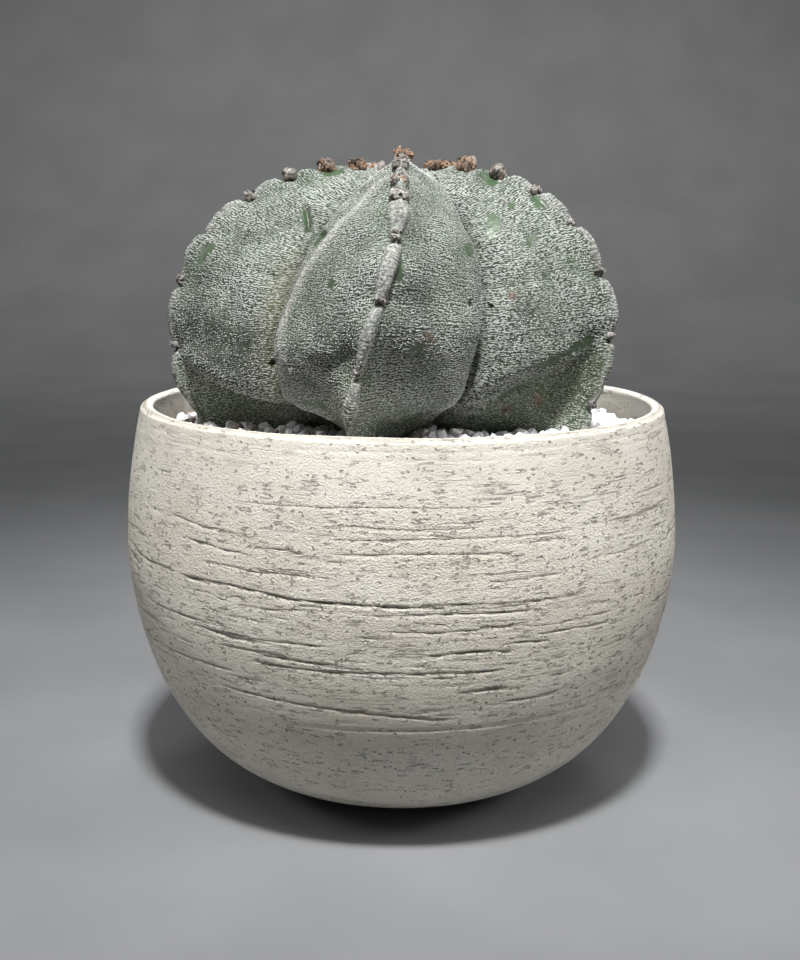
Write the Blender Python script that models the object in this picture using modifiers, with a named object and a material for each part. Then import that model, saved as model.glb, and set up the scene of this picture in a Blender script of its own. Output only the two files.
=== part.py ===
"""Potted bishop's cap cactus.

A turned clay bowl with a net over its drain hole, potting soil, a top dressing of gravel, and the
five-ribbed plant with its tap root.  Metres, +Z up.  The origin is the centre of the pot's foot,
and the plant's first rib faces -Y.
"""

import math
import random

import bmesh
import bpy
import numpy as np
from mathutils import Matrix, Vector

for old in list(bpy.data.objects):
    bpy.data.objects.remove(old, do_unlink=True)

GAP = 0.0003  # between pieces that touch

# Pot: outer radius at the belly, heights, and how far the wall draws in from belly to rim
POT_RADIUS = 0.075
POT_HEIGHT = 0.1066
BELLY_HEIGHT = 0.0692
RIM_DRAW = 0.062
RIM_WALL = 0.0032
FLOOR_WALL = 0.0062
RIM_ROUNDING = 0.0012
FOOT_HEIGHT = 0.0012
FOOT_RING = 0.007
FOOT_RECESS = 0.002
DRAIN_RADIUS = 0.008
TURNS = 40  # facets round the pot
UPPER_STEPS, LOWER_STEPS = 3, 7  # facets above and below the belly

# Net over the drain hole
NET_RADIUS = 0.014
NET_THICKNESS = 0.001
NET_PITCH = 0.0048
NET_OPENING = 0.0031

# Soil and top dressing
SOIL_TOP = 0.0945
GRAVEL_TOP = 0.1005
GRAIN_RADIUS = 0.0040
GRAIN_SPACING = 0.0086
GRAIN_INNERMOST = 0.025
GRAIN_SEED = 5

# Plant.  Both outlines run from the crown down to the root tip as (radius, height), point for
# point: one along a rib's crest, the other along the valley beside it.
CREST = [
    (0.000, 0.1668), (0.009, 0.1688), (0.020, 0.1691), (0.034, 0.1652), (0.048, 0.1557),
    (0.0575, 0.1435), (0.0610, 0.1290), (0.0592, 0.1160), (0.0555, 0.1045), (0.0490, 0.0930),
    (0.0340, 0.0840), (0.0150, 0.0780), (0.0065, 0.0660), (0.0022, 0.0460),
]
VALLEY = [
    (0.000, 0.1668), (0.004, 0.1660), (0.010, 0.1635), (0.021, 0.1565), (0.0315, 0.1485),
    (0.0380, 0.1385), (0.0410, 0.1275), (0.0395, 0.1185), (0.0345, 0.1105), (0.0265, 0.1060),
    (0.0180, 0.0980), (0.0105, 0.0795), (0.0060, 0.0660), (0.0020, 0.0460),
]
# Each rib: azimuth at the crown and at the soil in degrees (0 is -Y, + is towards +X), reach and
# lift of its crest, how far its areoles are shifted down, and the reach of the valley after it
RIBS = [
    (-1.0, -17.0, 1.00, 0.0012, 0.35, 0.93),
    (66.0, 64.0, 0.955, -0.0005, -0.10, 1.00),
    (140.0, 137.0, 0.98, -0.0005, 0.20, 1.00),
    (-148.0, -152.0, 0.99, -0.0010, 0.45, 1.02),
    (-76.0, -79.0, 1.015, -0.0008, 0.10, 1.09),
]
# Where the columns of a flank lie, from the crest (0) to the valley (1)
FLANK = (0.0, 0.18, 0.44, 0.71, 0.90)
SWELL = 0.0050  # how far a flank bulges past the straight line from crest to valley
KEEL_THINNING = 0.0042  # how far it falls behind that line below the fold
FOLD_AT_CREST, FOLD_AT_VALLEY = 5.6, 7.3  # in areoles, counted down from the crown
# Areoles sit along each crest at arc lengths START + k * (STEP + GROWTH * k), k = 0, 1, 2 ...
AREOLE_START, AREOLE_STEP, AREOLE_GROWTH = 0.0120, 0.0070, 0.0009
AREOLES = 8
AREOLE_RADIUS = 0.0023
LOWEST_AREOLE = 0.1085
SCALLOP = 0.0011  # how far the crest stands out between two areoles
ROWS_PER_AREOLE = 4
CROWN_TUFTS = 7
CROWN_RADIUS = 0.0065


def material(name, color, roughness):
    """A Principled material."""
    made = bpy.data.materials.new(name)
    made.use_nodes = True
    shader = made.node_tree.nodes["Principled BSDF"]
    shader.inputs["Base Color"].default_value = (*color, 1.0)
    shader.inputs["Roughness"].default_value = roughness
    return made


def collection(name):
    made = bpy.data.collections.new(name)
    bpy.context.scene.collection.children.link(made)
    return made


def add_object(name, mesh, home, finish=None, smooth_below=None):
    """Put a mesh in a collection as an object, smooth-shaded below an angle if one is given."""
    placed = bpy.data.objects.new(name, mesh)
    home.objects.link(placed)
    if finish:
        mesh.materials.append(finish)
    if smooth_below:
        mesh.shade_smooth()
        mesh.set_sharp_from_angle(angle=math.radians(smooth_below))
    return placed


def apply_modifiers(placed):
    """Swap an object's mesh for its evaluated one, and clear its modifiers."""
    graph = bpy.context.evaluated_depsgraph_get()
    evaluated = bpy.data.meshes.new_from_object(placed.evaluated_get(graph))
    placed.modifiers.clear()
    placed.data = evaluated


def turned(name, profile, home, finish, closed):
    """A profile of (radius, height) points turned about Z; it runs down its outer side."""
    outline = bpy.data.meshes.new(name)
    points = [(radius, 0.0, height) for radius, height in profile]
    edges = [(i, i + 1) for i in range(len(points) - 1)]
    if closed:
        edges.append((len(points) - 1, 0))
    outline.from_pydata(points, edges, [])
    placed = add_object(name, outline, home, finish)
    lathe = placed.modifiers.new("Lathe", "SCREW")
    lathe.axis = "Z"
    lathe.steps = TURNS
    lathe.render_steps = TURNS
    lathe.use_merge_vertices = True
    lathe.merge_threshold = 0.00001
    lathe.use_smooth_shade = True
    return placed


def boolean(placed, operation, operand, solver="EXACT"):
    """Boolean with an object, or with every object of a collection."""
    cut = placed.modifiers.new(operation.title(), "BOOLEAN")
    cut.operation = operation
    cut.solver = solver
    if isinstance(operand, bpy.types.Collection):
        cut.operand_type = "COLLECTION"
        cut.collection = operand
    else:
        cut.object = operand


def guide(placed):
    """Mark an object as a cutter: drawn as wire and never rendered."""
    placed.hide_render = True
    placed.display_type = "WIRE"


# ---- Pot ----------------------------------------------------------------------------------


def belly_radius(height):
    """Outer radius of the pot: a full round bowl that draws in gently above its belly."""
    if height > BELLY_HEIGHT:
        above = (height - BELLY_HEIGHT) / (POT_HEIGHT - BELLY_HEIGHT)
        return POT_RADIUS * (1 - RIM_DRAW * above**1.87)
    below = 1 - height / BELLY_HEIGHT
    return POT_RADIUS * (1 - below**1.78) ** (1 / 3.41)


def bowl_point(height, depth):
    """(radius, height) of the point `depth` inside the outer face, square to it."""
    step = 0.0002
    slope = (belly_radius(height + step) - belly_radius(height - step)) / (2 * step)
    length = math.hypot(1, slope)
    return belly_radius(height) - depth / length, height + depth * slope / length


def wall(height):
    """Thickness of the clay, thin at the rim and thick at the floor."""
    up = height / POT_HEIGHT
    return FLOOR_WALL + (RIM_WALL - FLOOR_WALL) * up


def bowl_line(depth_at):
    """The bowl's outline from under the rim to the foot, `depth_at(height)` inside the clay."""
    shoulder = POT_HEIGHT - RIM_ROUNDING
    draw = shoulder - BELLY_HEIGHT
    heights = [shoulder - draw * i / UPPER_STEPS for i in range(UPPER_STEPS)]
    for i in range(LOWER_STEPS + 1):
        heights.append(FOOT_HEIGHT + (BELLY_HEIGHT - FOOT_HEIGHT) * (1 - i / LOWER_STEPS) ** 2)
    return [bowl_point(height, depth_at(height)) for height in heights]


def make_pot(home):
    """The bowl in one profile: rim, outer face, foot ring, drain hole, floor and inner face."""
    shoulder = POT_HEIGHT - RIM_ROUNDING
    middle = belly_radius(POT_HEIGHT) - RIM_WALL / 2
    profile = []
    for i in range(1, 6):  # rounded rim, from inside to outside
        turn = math.pi * (1 - i / 6)
        reach = RIM_WALL / 2 * math.cos(turn)
        profile.append((middle + reach, shoulder + RIM_ROUNDING * math.sin(turn)))
    profile += bowl_line(lambda height: 0)
    lining = bowl_line(wall)
    foot = belly_radius(FOOT_HEIGHT)
    floor = lining[-1][1]
    profile += [
        (foot, 0.0),
        (foot - FOOT_RING, 0.0),
        (foot - FOOT_RING - FOOT_RECESS, FOOT_RECESS),
        (DRAIN_RADIUS, FOOT_RECESS),
        (DRAIN_RADIUS, floor),
    ]
    profile += reversed(lining)
    clay = material("clay", (0.62, 0.57, 0.48), 0.9)
    pot = turned("pot", profile, home, clay, closed=True)
    return pot, floor


# ---- Plant --------------------------------------------------------------------------------


def smooth_line(points, samples=12):
    """Catmull-Rom curve through the points, `samples` to a span."""
    dense = []
    ends = [points[0], *points, points[-1]]
    for i in range(len(points) - 1):
        a, b, c, d = (np.array(p) for p in ends[i : i + 4])
        for j in range(samples):
            t = j / samples
            dense.append(
                0.5 * (2 * b + (c - a) * t + (2 * a - 5 * b + 4 * c - d) * t**2
                       + (3 * b - a - 3 * c + d) * t**3)
            )
    dense.append(np.array(points[-1]))
    return np.array(dense)


CREST_LINE = smooth_line(CREST)
VALLEY_LINE = smooth_line(VALLEY)
CREST_LENGTH = np.concatenate(
    [[0.0], np.cumsum(np.linalg.norm(np.diff(CREST_LINE, axis=0), axis=1))]
)
STATIONS = np.arange(len(CREST_LENGTH))


def areole_length(k):
    """Arc length from the crown's centre, along a crest, to areole k; k may be a fraction."""
    return AREOLE_START + k * (AREOLE_STEP + AREOLE_GROWTH * k)


def areole_number(length):
    """The inverse of areole_length."""
    root = AREOLE_STEP**2 - 4 * AREOLE_GROWTH * (AREOLE_START - length)
    return (math.sqrt(root) - AREOLE_STEP) / (2 * AREOLE_GROWTH)


def along(line, k):
    """(radius, height) on an outline, level with areole k on the crest."""
    station = np.interp(areole_length(k), CREST_LENGTH, STATIONS)
    return np.array([np.interp(station, STATIONS, line[:, axis]) for axis in (0, 1)])


def ease(value, low, high):
    """0 below `low`, 1 above `high`, smooth between."""
    t = min(max((value - low) / (high - low), 0.0), 1.0)
    return t * t * (3 - 2 * t)


def polar(radius, azimuth, height):
    """A point in the plant's frame; azimuth 0 is -Y and grows towards +X."""
    return Vector((radius * math.sin(azimuth), -radius * math.cos(azimuth), height))


def rib_azimuth(rib, k):
    """A rib leans round the plant as it goes down."""
    crown, soil = RIBS[rib][:2]
    return math.radians(crown + (soil - crown) * ease(k, 3.8, 8.6))


def crest_point(rib, k):
    """A point on a rib's crest, which stands out between one areole and the next."""
    reach, lift, shift = RIBS[rib][2:5]
    radius, height = along(CREST_LINE, k)
    above = ease(k, -2, 0) * (1 - ease(k, 8, 9))  # 0 at the crown's centre and at the root
    radius *= 1 + (reach - 1) * above
    scallop = SCALLOP * above * abs(math.sin(math.pi * (k - shift))) ** 0.7
    return polar(radius + scallop, rib_azimuth(rib, k), height + lift * above)


def flank_point(rib, side, across, k):
    """A point on a rib's flank: `side` is 1 or -1, and `across` runs from crest to valley."""
    neighbour = (rib + side) % len(RIBS)
    here, there = rib_azimuth(rib, k), rib_azimuth(neighbour, k)
    between = here + side * ((there - here) * side % math.tau) / 2
    reach = RIBS[rib if side > 0 else neighbour][5]
    radius, height = along(VALLEY_LINE, k)
    radius *= 1 + (reach - 1) * ease(k, 0, 3) * (1 - ease(k, 7, 9))
    crest = crest_point(rib, k)
    valley = polar(radius, between, height)
    chord = valley - crest
    outward = Vector((chord.y, -chord.x, 0)).normalized()
    if outward.dot(crest + valley) < 0:
        outward.negate()
    fold = FOLD_AT_CREST + (FOLD_AT_VALLEY - FOLD_AT_CREST) * across
    below = ease(k, fold - 0.3, fold + 0.5)
    full = ease(k, -2.2, 2.5) * (1 - below)
    swollen = SWELL * full * across * (1 - across**7) / 0.650
    thin = KEEL_THINNING * below * (1 - ease(k, 8, 10)) * math.sin(math.pi * across)
    return crest + chord * across + outward * (swollen - thin)


def plant_section(k):
    """One ring of the body, counted with the azimuth from the first valley."""
    ring = []
    for rib in range(len(RIBS)):
        ring.append(flank_point(rib, -1, 1.0, k))
        ring += [flank_point(rib, -1, across, k) for across in reversed(FLANK[1:])]
        ring += [flank_point(rib, 1, across, k) for across in FLANK]
    return ring


def plant_mesh(name):
    """The body as a loft from the crown's centre down to the root tip."""
    bm = bmesh.new()
    crown = bm.verts.new((0.0, 0.0, CREST[0][1]))
    last = areole_number(CREST_LENGTH[-1])
    step = 1 / ROWS_PER_AREOLE
    first = math.ceil(areole_number(0.002) / step) * step
    rows = [*np.arange(first, AREOLES, step), *np.arange(AREOLES, last, 2 * step)]
    rings = [[bm.verts.new(point) for point in plant_section(k)] for k in rows]
    count = len(rings[0])
    for j in range(count):
        bm.faces.new((crown, rings[0][j], rings[0][(j + 1) % count]))
    for upper, lower in zip(rings, rings[1:]):
        for j in range(count):
            beside = (j + 1) % count
            bm.faces.new((upper[j], lower[j], lower[beside], upper[beside]))
    bm.faces.new(rings[-1][::-1])
    bmesh.ops.triangulate(bm, faces=bm.faces)
    bmesh.ops.recalc_face_normals(bm, faces=bm.faces)
    mesh = bpy.data.meshes.new(name)
    bm.to_mesh(mesh)
    bm.free()
    return mesh


def make_plant(home, scraps):
    """The body with its areoles and the crown's wool fused on."""
    chance = random.Random(3)
    tufts = collection("areoles")
    spots = []
    for rib in range(len(RIBS)):
        for number in range(AREOLES):
            spot = crest_point(rib, number + RIBS[rib][4])
            if spot.z > LOWEST_AREOLE:
                spots.append((spot, AREOLE_RADIUS))
    for i in range(CROWN_TUFTS):
        azimuth = math.tau * i / CROWN_TUFTS
        spots.append((polar(CROWN_RADIUS, azimuth, CREST[0][1] + 0.0008), AREOLE_RADIUS * 0.8))
    for number, (spot, radius) in enumerate(spots):
        bm = bmesh.new()
        bmesh.ops.create_icosphere(bm, subdivisions=1, radius=radius)
        turn = Matrix.Rotation(chance.uniform(0, math.tau), 4, Vector((1, 0.6, 0.3)))
        bmesh.ops.transform(bm, verts=bm.verts, matrix=Matrix.Translation(spot) @ turn)
        mesh = bpy.data.meshes.new("areole")
        bm.to_mesh(mesh)
        bm.free()
        add_object(f"areole_{number}", mesh, tufts)
    skin = material("skin", (0.33, 0.38, 0.32), 0.8)
    plant = add_object("cactus", plant_mesh("cactus"), home, skin)
    boolean(plant, "UNION", tufts)
    apply_modifiers(plant)
    for tuft in list(tufts.objects):
        bpy.data.objects.remove(tuft, do_unlink=True)
    bpy.data.collections.remove(tufts)
    plant.data.shade_smooth()
    plant.data.set_sharp_from_angle(angle=math.radians(50))
    # The hole the plant stands in is its own body, grown by the gap
    hole = plant_mesh("plant_hole")
    for vertex, normal in [(v, v.normal.copy()) for v in hole.vertices]:
        vertex.co += normal * GAP * 1.5
    cutter = add_object("plant_hole", hole, scraps)
    guide(cutter)
    return plant, cutter


# ---- Net, soil and top dressing -----------------------------------------------------------


def make_net(home, scraps, floor):
    """A round plastic net with square openings, over the drain hole."""
    bm = bmesh.new()
    lift = Matrix.Translation((0, 0, floor + GAP + NET_THICKNESS / 2))
    bmesh.ops.create_cone(bm, cap_ends=True, segments=24, radius1=NET_RADIUS,
                          radius2=NET_RADIUS, depth=NET_THICKNESS, matrix=lift)
    mesh = bpy.data.meshes.new("drain_net")
    bm.to_mesh(mesh)
    bm.free()
    net = add_object("drain_net", mesh, home, material("net_plastic", (0.05, 0.05, 0.05), 0.5))
    bm = bmesh.new()
    for column in range(-2, 3):
        for row in range(-2, 3):
            if abs(column) + abs(row) > 3:
                continue
            place = Matrix.Translation((column * NET_PITCH, row * NET_PITCH, 0))
            size = Matrix.Diagonal((NET_OPENING, NET_OPENING, NET_THICKNESS * 4, 1))
            bmesh.ops.create_cube(bm, size=1.0, matrix=lift @ place @ size)
    holes = bpy.data.meshes.new("net_openings")
    bm.to_mesh(holes)
    bm.free()
    cutter = add_object("net_openings", holes, scraps)
    guide(cutter)
    boolean(net, "DIFFERENCE", cutter)
    return net


def filling_line():
    """The outline of what fills the bowl, clear of the clay by the gap."""
    return bowl_line(lambda height: wall(height) + GAP)


def filling_radius(level):
    """Radius of what fills the bowl at one height."""
    line = np.array(filling_line())[::-1]
    return float(np.interp(level, line[:, 1], line[:, 0]))


def make_soil(home, floor, hole):
    """Potting soil that fills the bowl up to the top dressing, over the net."""
    net_room = NET_RADIUS + GAP
    net_top = floor + NET_THICKNESS + 2 * GAP
    profile = [(0.0, SOIL_TOP), (filling_radius(SOIL_TOP), SOIL_TOP)]
    profile += [point for point in filling_line() if point[1] < SOIL_TOP]
    profile += [(net_room, floor + GAP), (net_room, net_top), (0.0, net_top)]
    earth = material("potting_soil", (0.12, 0.09, 0.07), 1.0)
    soil = turned("soil", profile, home, earth, closed=False)
    boolean(soil, "DIFFERENCE", hole)
    return soil


def make_top_dressing(home, scraps, hole):
    """A layer of white gravel: a disc with grains of stone fused to its top."""
    bed = GRAVEL_TOP - SOIL_TOP
    bottom = SOIL_TOP + GAP
    edge_low = filling_radius(bottom)
    edge_high = filling_radius(GRAVEL_TOP)
    profile = [(0.0, GRAVEL_TOP), (edge_high, GRAVEL_TOP), (edge_low, bottom), (0.0, bottom)]
    stone = material("white_gravel", (0.8, 0.8, 0.8), 0.8)
    layer = turned("top_dressing", profile, home, stone, closed=False)
    apply_modifiers(layer)
    chance = random.Random(GRAIN_SEED)
    grains = collection("grains")
    distance = edge_high - GRAIN_RADIUS * 1.25
    while distance > GRAIN_INNERMOST:
        number = int(math.tau * distance / GRAIN_SPACING)
        start = chance.random()
        for i in range(number):
            azimuth = math.tau * (i + start + chance.uniform(-0.15, 0.15)) / number
            radius = GRAIN_RADIUS * chance.uniform(0.9, 1.1)
            out = distance + GRAIN_RADIUS * chance.uniform(-0.25, 0.1)
            height = GRAVEL_TOP - radius * chance.uniform(0.0, 0.35)
            bm = bmesh.new()
            bmesh.ops.create_uvsphere(bm, u_segments=4, v_segments=3, radius=radius)
            axis = Vector((chance.uniform(-1, 1), chance.uniform(-1, 1), 1)).normalized()
            turn = Matrix.Rotation(chance.uniform(0, math.tau), 4, axis)
            place = Matrix.Translation(polar(out, azimuth, height))
            bmesh.ops.transform(bm, verts=bm.verts, matrix=place @ turn)
            mesh = bpy.data.meshes.new("grain")
            bm.to_mesh(mesh)
            bm.free()
            add_object(f"grain_{len(grains.objects)}", mesh, grains)
        distance -= GRAIN_SPACING * 0.87
    boolean(layer, "UNION", grains)
    boolean(layer, "DIFFERENCE", hole)
    apply_modifiers(layer)
    for grain in list(grains.objects):
        bpy.data.objects.remove(grain, do_unlink=True)
    bpy.data.collections.remove(grains)
    return layer


parts = collection("potted_bishops_cap_cactus")
cutters = collection("cutters")
_, floor_height = make_pot(parts)
_, plant_hole = make_plant(parts, cutters)
make_net(parts, cutters, floor_height)
make_soil(parts, floor_height, plant_hole)
make_top_dressing(parts, cutters, plant_hole)
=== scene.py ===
import functools
import math
import random

import bmesh
import bpy
import numpy as np
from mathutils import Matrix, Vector, noise
from mathutils.bvhtree import BVHTree


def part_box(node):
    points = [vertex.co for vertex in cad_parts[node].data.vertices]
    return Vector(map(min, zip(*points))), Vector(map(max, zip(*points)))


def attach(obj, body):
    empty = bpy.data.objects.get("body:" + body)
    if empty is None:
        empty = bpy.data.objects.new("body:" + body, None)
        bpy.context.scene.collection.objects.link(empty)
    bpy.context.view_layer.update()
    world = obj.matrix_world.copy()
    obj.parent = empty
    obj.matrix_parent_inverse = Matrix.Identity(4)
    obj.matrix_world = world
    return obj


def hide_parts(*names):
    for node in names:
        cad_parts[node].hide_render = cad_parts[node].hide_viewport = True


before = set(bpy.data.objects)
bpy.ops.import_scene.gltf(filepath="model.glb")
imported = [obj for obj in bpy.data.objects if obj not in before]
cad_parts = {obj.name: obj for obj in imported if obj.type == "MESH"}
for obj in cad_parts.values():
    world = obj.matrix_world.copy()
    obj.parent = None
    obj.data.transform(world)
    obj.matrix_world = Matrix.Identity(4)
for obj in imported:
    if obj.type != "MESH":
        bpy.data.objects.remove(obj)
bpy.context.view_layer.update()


# ---- Bowl pot ------------------------------------------------------------------------------
# Thrown from cream clay with coarse sand in it and left unglazed.  A rib dragged round the
# stiff clay tore the belly into long ragged grooves; the collar under the rim was smoothed, and
# the lower wall trimmed, up to one turned line.

pot_radius, pot_height, belly_height = 0.075, 0.1066, 0.0692
rim_draw, rim_wall, floor_wall, rim_rounding = 0.062, 0.0032, 0.0062, 0.0012
foot_height, foot_ring, foot_recess, drain_radius = 0.0012, 0.007, 0.002, 0.008
pot_columns = 228
outer_row, inner_row = 0.00037, 0.0018  # spacing of the rows on the outer and inner faces
collar_bend, belly_bend, belly_root = 1.87, 1.78, 3.41  # how the wall curves over and under
trim_line = 0.0364  # height of the turned line above the trimmed foot
weld_gap = 1e-7


def ease(value, low, high):
    """0 below `low`, 1 above `high`, smooth between."""
    t = np.clip((value - low) / (high - low), 0.0, 1.0)
    return t * t * (3 - 2 * t)


def belly_radius(height):
    """Outer radius of the bowl."""
    above = np.clip((height - belly_height) / (pot_height - belly_height), 0, 1)
    below = 1 - np.clip(height / belly_height, 0, 1)
    return np.where(height > belly_height, pot_radius * (1 - rim_draw * above**collar_bend),
                    pot_radius * (1 - below**belly_bend) ** (1 / belly_root))


def bowl_outline(spacing, depth):
    """Points from under the rim to the foot, `spacing` apart, `depth` inside the clay."""
    top = pot_height - rim_rounding
    heights = foot_height + (top - foot_height) * np.linspace(1, 0, 4001) ** 1.5
    radii = belly_radius(heights)
    slope = (belly_radius(heights + 0.0002) - belly_radius(heights - 0.0002)) / 0.0004
    length = np.hypot(1, slope)
    thickness = depth(heights)
    line = np.stack([radii - thickness / length, heights + thickness * slope / length], axis=1)
    run = np.concatenate([[0], np.cumsum(np.linalg.norm(np.diff(line, axis=0), axis=1))])
    even = np.linspace(0, run[-1], int(run[-1] / spacing))
    return np.stack([np.interp(even, run, line[:, 0]), np.interp(even, run, line[:, 1])], axis=1)


def clay_wall(height):
    """Thickness of the clay, thin at the rim and thick at the floor."""
    return floor_wall + (rim_wall - floor_wall) * height / pot_height


def noise_at(points, scale, seed):
    """Smooth noise, -1 to 1, at each point; `scale` is per metre, or per metre along each axis."""
    moved = points.reshape(-1, 3) * np.array(scale) + seed * 17.3
    return np.array([noise.noise(Vector(point)) for point in moved]).reshape(points.shape[:-1])


def sheet_mesh(name, grid, around=True):
    """A mesh over a grid of rows of points, closed round each row."""
    rows, columns = grid.shape[:2]
    index = np.arange(rows * columns).reshape(rows, columns)
    beside = np.roll(index, -1, axis=1) if around else index[:, 1:]
    here = index if around else index[:, :-1]
    faces = np.stack([here[:-1], here[1:], beside[1:, : here.shape[1]],
                      beside[:-1, : here.shape[1]]], axis=-1).reshape(-1, 4)
    mesh = bpy.data.meshes.new(name)
    mesh.from_pydata(grid.reshape(-1, 3).tolist(), [], faces.tolist())
    return mesh


def welded(mesh, face_up=False):
    """Merge a mesh's doubles, turn its faces outwards, or upwards, and shade it smooth."""
    made = bmesh.new()
    made.from_mesh(mesh)
    bmesh.ops.remove_doubles(made, verts=made.verts, dist=weld_gap)
    if not face_up:
        bmesh.ops.recalc_face_normals(made, faces=made.faces)
    for face in made.faces:
        face.smooth = True
        if face_up and face.normal.z < 0:
            face.normal_flip()
    made.to_mesh(mesh)
    made.free()


def mark(mesh, name, values, kind="FLOAT"):
    """Store a number or a vector at each point of a mesh, for its material to read."""
    layer = mesh.attributes.new(name, kind, "POINT")
    layer.data.foreach_set("value" if kind == "FLOAT" else "vector",
                           np.asarray(values, dtype=np.float32).ravel())


def placed(name, mesh, *finishes):
    """An object at the origin with its materials."""
    made = bpy.data.objects.new(name, mesh)
    bpy.context.scene.collection.objects.link(made)
    for finish in finishes:
        mesh.materials.append(finish)
    return made


outer_face = bowl_outline(outer_row, lambda height: 0 * height)
lining = bowl_outline(inner_row, clay_wall)[::-1]
lip_middle = float(belly_radius(np.array(pot_height))) - rim_wall / 2
lip_turn = np.pi * (1 - np.arange(1, 12) / 12)
lip = np.stack([lip_middle + rim_wall / 2 * np.cos(lip_turn),
                pot_height - rim_rounding + rim_rounding * np.sin(lip_turn)], axis=1)
foot = float(belly_radius(np.array(foot_height)))
pot_floor = float(lining[0, 1])
under = np.array([(foot, 0.0004), (foot - 0.0006, 0.0), (foot - foot_ring, 0.0),
                  (foot - foot_ring - foot_recess, foot_recess), (drain_radius, foot_recess),
                  (drain_radius, pot_floor)])
pot_line = np.concatenate([outer_face, under, lining, lip])
pot_turn = np.linspace(0, math.tau, pot_columns, endpoint=False)
pot_grid = np.stack([pot_line[:, :1] * np.sin(pot_turn), -pot_line[:, :1] * np.cos(pot_turn),
                     np.repeat(pot_line[:, 1:], pot_columns, axis=1)], axis=-1)

outer_count = len(outer_face)
outer_grid = pot_grid[:outer_count]
outer_height = outer_grid[..., 2]
tangent = np.gradient(outer_face, axis=0)
outward = np.stack([-tangent[:, 1], tangent[:, 0]], axis=1)
outward /= np.linalg.norm(outward, axis=1, keepdims=True)

# Long drag grooves: azimuth where each starts (degrees), height (mm), length, depth and half
# height (mm), and how much it climbs over its length (mm)
drag_grooves = [
    (-34, 90.6, 66, 0.40, 0.40, 0.6), (-12, 86.6, 34, 0.38, 0.38, -0.3),
    (-14, 83.8, 60, 0.45, 0.40, 0.4), (-28, 80.6, 14, 0.7, 0.5, -0.6),
    (-14, 80.4, 46, 0.50, 0.42, 0.3), (-46, 70.6, 36, 0.85, 0.6, -1.0),
    (-26, 69.0, 48, 0.80, 0.5, -0.5), (-8, 66.6, 44, 0.60, 0.45, 0.0),
    (-36, 75.0, 28, 0.5, 0.42, -0.4), (-44, 79.5, 20, 0.6, 0.5, -1.0),
    (-50, 84.0, 22, 0.6, 0.5, -0.9), (-4, 62.5, 36, 0.5, 0.42, 0.2),
    (4, 56.8, 22, 0.7, 0.5, 0.4), (-30, 52.0, 40, 0.5, 0.42, 0.1),
    (0, 51.8, 26, 0.65, 0.5, 0.5), (10, 47.0, 14, 0.6, 0.5, 0.2),
    (-40, 43.9, 64, 0.65, 0.38, -4.2), (0, 69.0, 46, 0.5, 0.36, -0.6),
    (20, 43.2, 16, 0.7, 0.5, 0.5), (-44, 58.0, 26, 0.6, 0.5, -0.6),
]
chance_grooves = 210  # short ones at random all round
clay_chance = random.Random(11)
for _ in range(chance_grooves):
    groove_height = clay_chance.triangular(38, 92, 62)
    drag_grooves.append((
        clay_chance.uniform(-180, 180), groove_height, 3 + 36 * clay_chance.random() ** 4,
        clay_chance.uniform(0.22, 0.55), clay_chance.uniform(0.22, 0.40),
        clay_chance.uniform(-0.6, 0.6),
    ))
tear = np.zeros(outer_height.shape)  # depth in mm
line_gap = np.full(outer_height.shape, 1.5)  # mm above or below the nearest groove's line
line_here = np.zeros(outer_height.shape)
turn_degrees = np.degrees(pot_turn)
ragged = noise_at(outer_grid, (420, 420, 900), 1)
for start, level, length, depth, half, climb in drag_grooves:
    girth = math.radians(1) * float(belly_radius(np.array(level / 1000))) * 1000
    run = ((turn_degrees - start + 180) % 360 - 180) * girth / length  # 0 to 1 along the groove
    run = np.where(run < -0.5, run + 360 * girth / length, run)
    along_it = ease(run, 0, 0.15) * (1 - ease(run, 0.85, 1))
    columns = np.nonzero(along_it > 0)[0]
    uneven = ragged[:, columns]
    line_height = level + climb * run[columns] + 0.5 * np.sin(run[columns] * 7 + start) * half
    above_line = outer_height[:, columns] * 1000 - line_height
    # The upper edge is cut square and the lower one torn down slowly
    off = (above_line + 0.40 * uneven) / (0.8 * half)
    cut = np.where(off > 0, 1 - ease(off, 0, 0.8), 1 - ease(-off, 0, 1.5))
    cut = 0.75 * depth * cut * (0.25 + 0.75 * ease(uneven, -0.35, 0.15)) * along_it[columns]
    tear[:, columns] = np.maximum(tear[:, columns], cut)
    gap = above_line + 0.30 * uneven
    nearer = np.abs(gap) < np.abs(line_gap[:, columns])
    near = np.clip(2.2 * depth, 0, 1) * along_it[columns] * (1 - ease(np.abs(gap), 0.6, 1.0))
    line_gap[:, columns] = np.where(nearer, gap, line_gap[:, columns])
    line_here[:, columns] = np.where(nearer, near, line_here[:, columns])

torn = ease(outer_height, 0.024, 0.046) * (1 - 0.75 * ease(outer_height, 0.084, 0.100))
dashes = noise_at(outer_grid, (230, 230, 1000), 2)
swells = noise_at(outer_grid, (26, 26, 120), 4)
tear = tear * torn
tear += torn * 0.22 * ease(dashes, 0.42, 0.70)
tear += (0.35 + 0.65 * torn) * 0.09 * (1 + swells)
# The turned line is a fine groove, deeper on one side; under it the wall was trimmed smoother
turned = trim_line + 0.0005 * np.sin(pot_turn * 2 + 0.6)
line_depth = 0.30 + 0.28 * np.sin(pot_turn - 0.3)
tear += line_depth * np.exp(-(((outer_height - turned) / 0.00040) ** 2))
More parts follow.
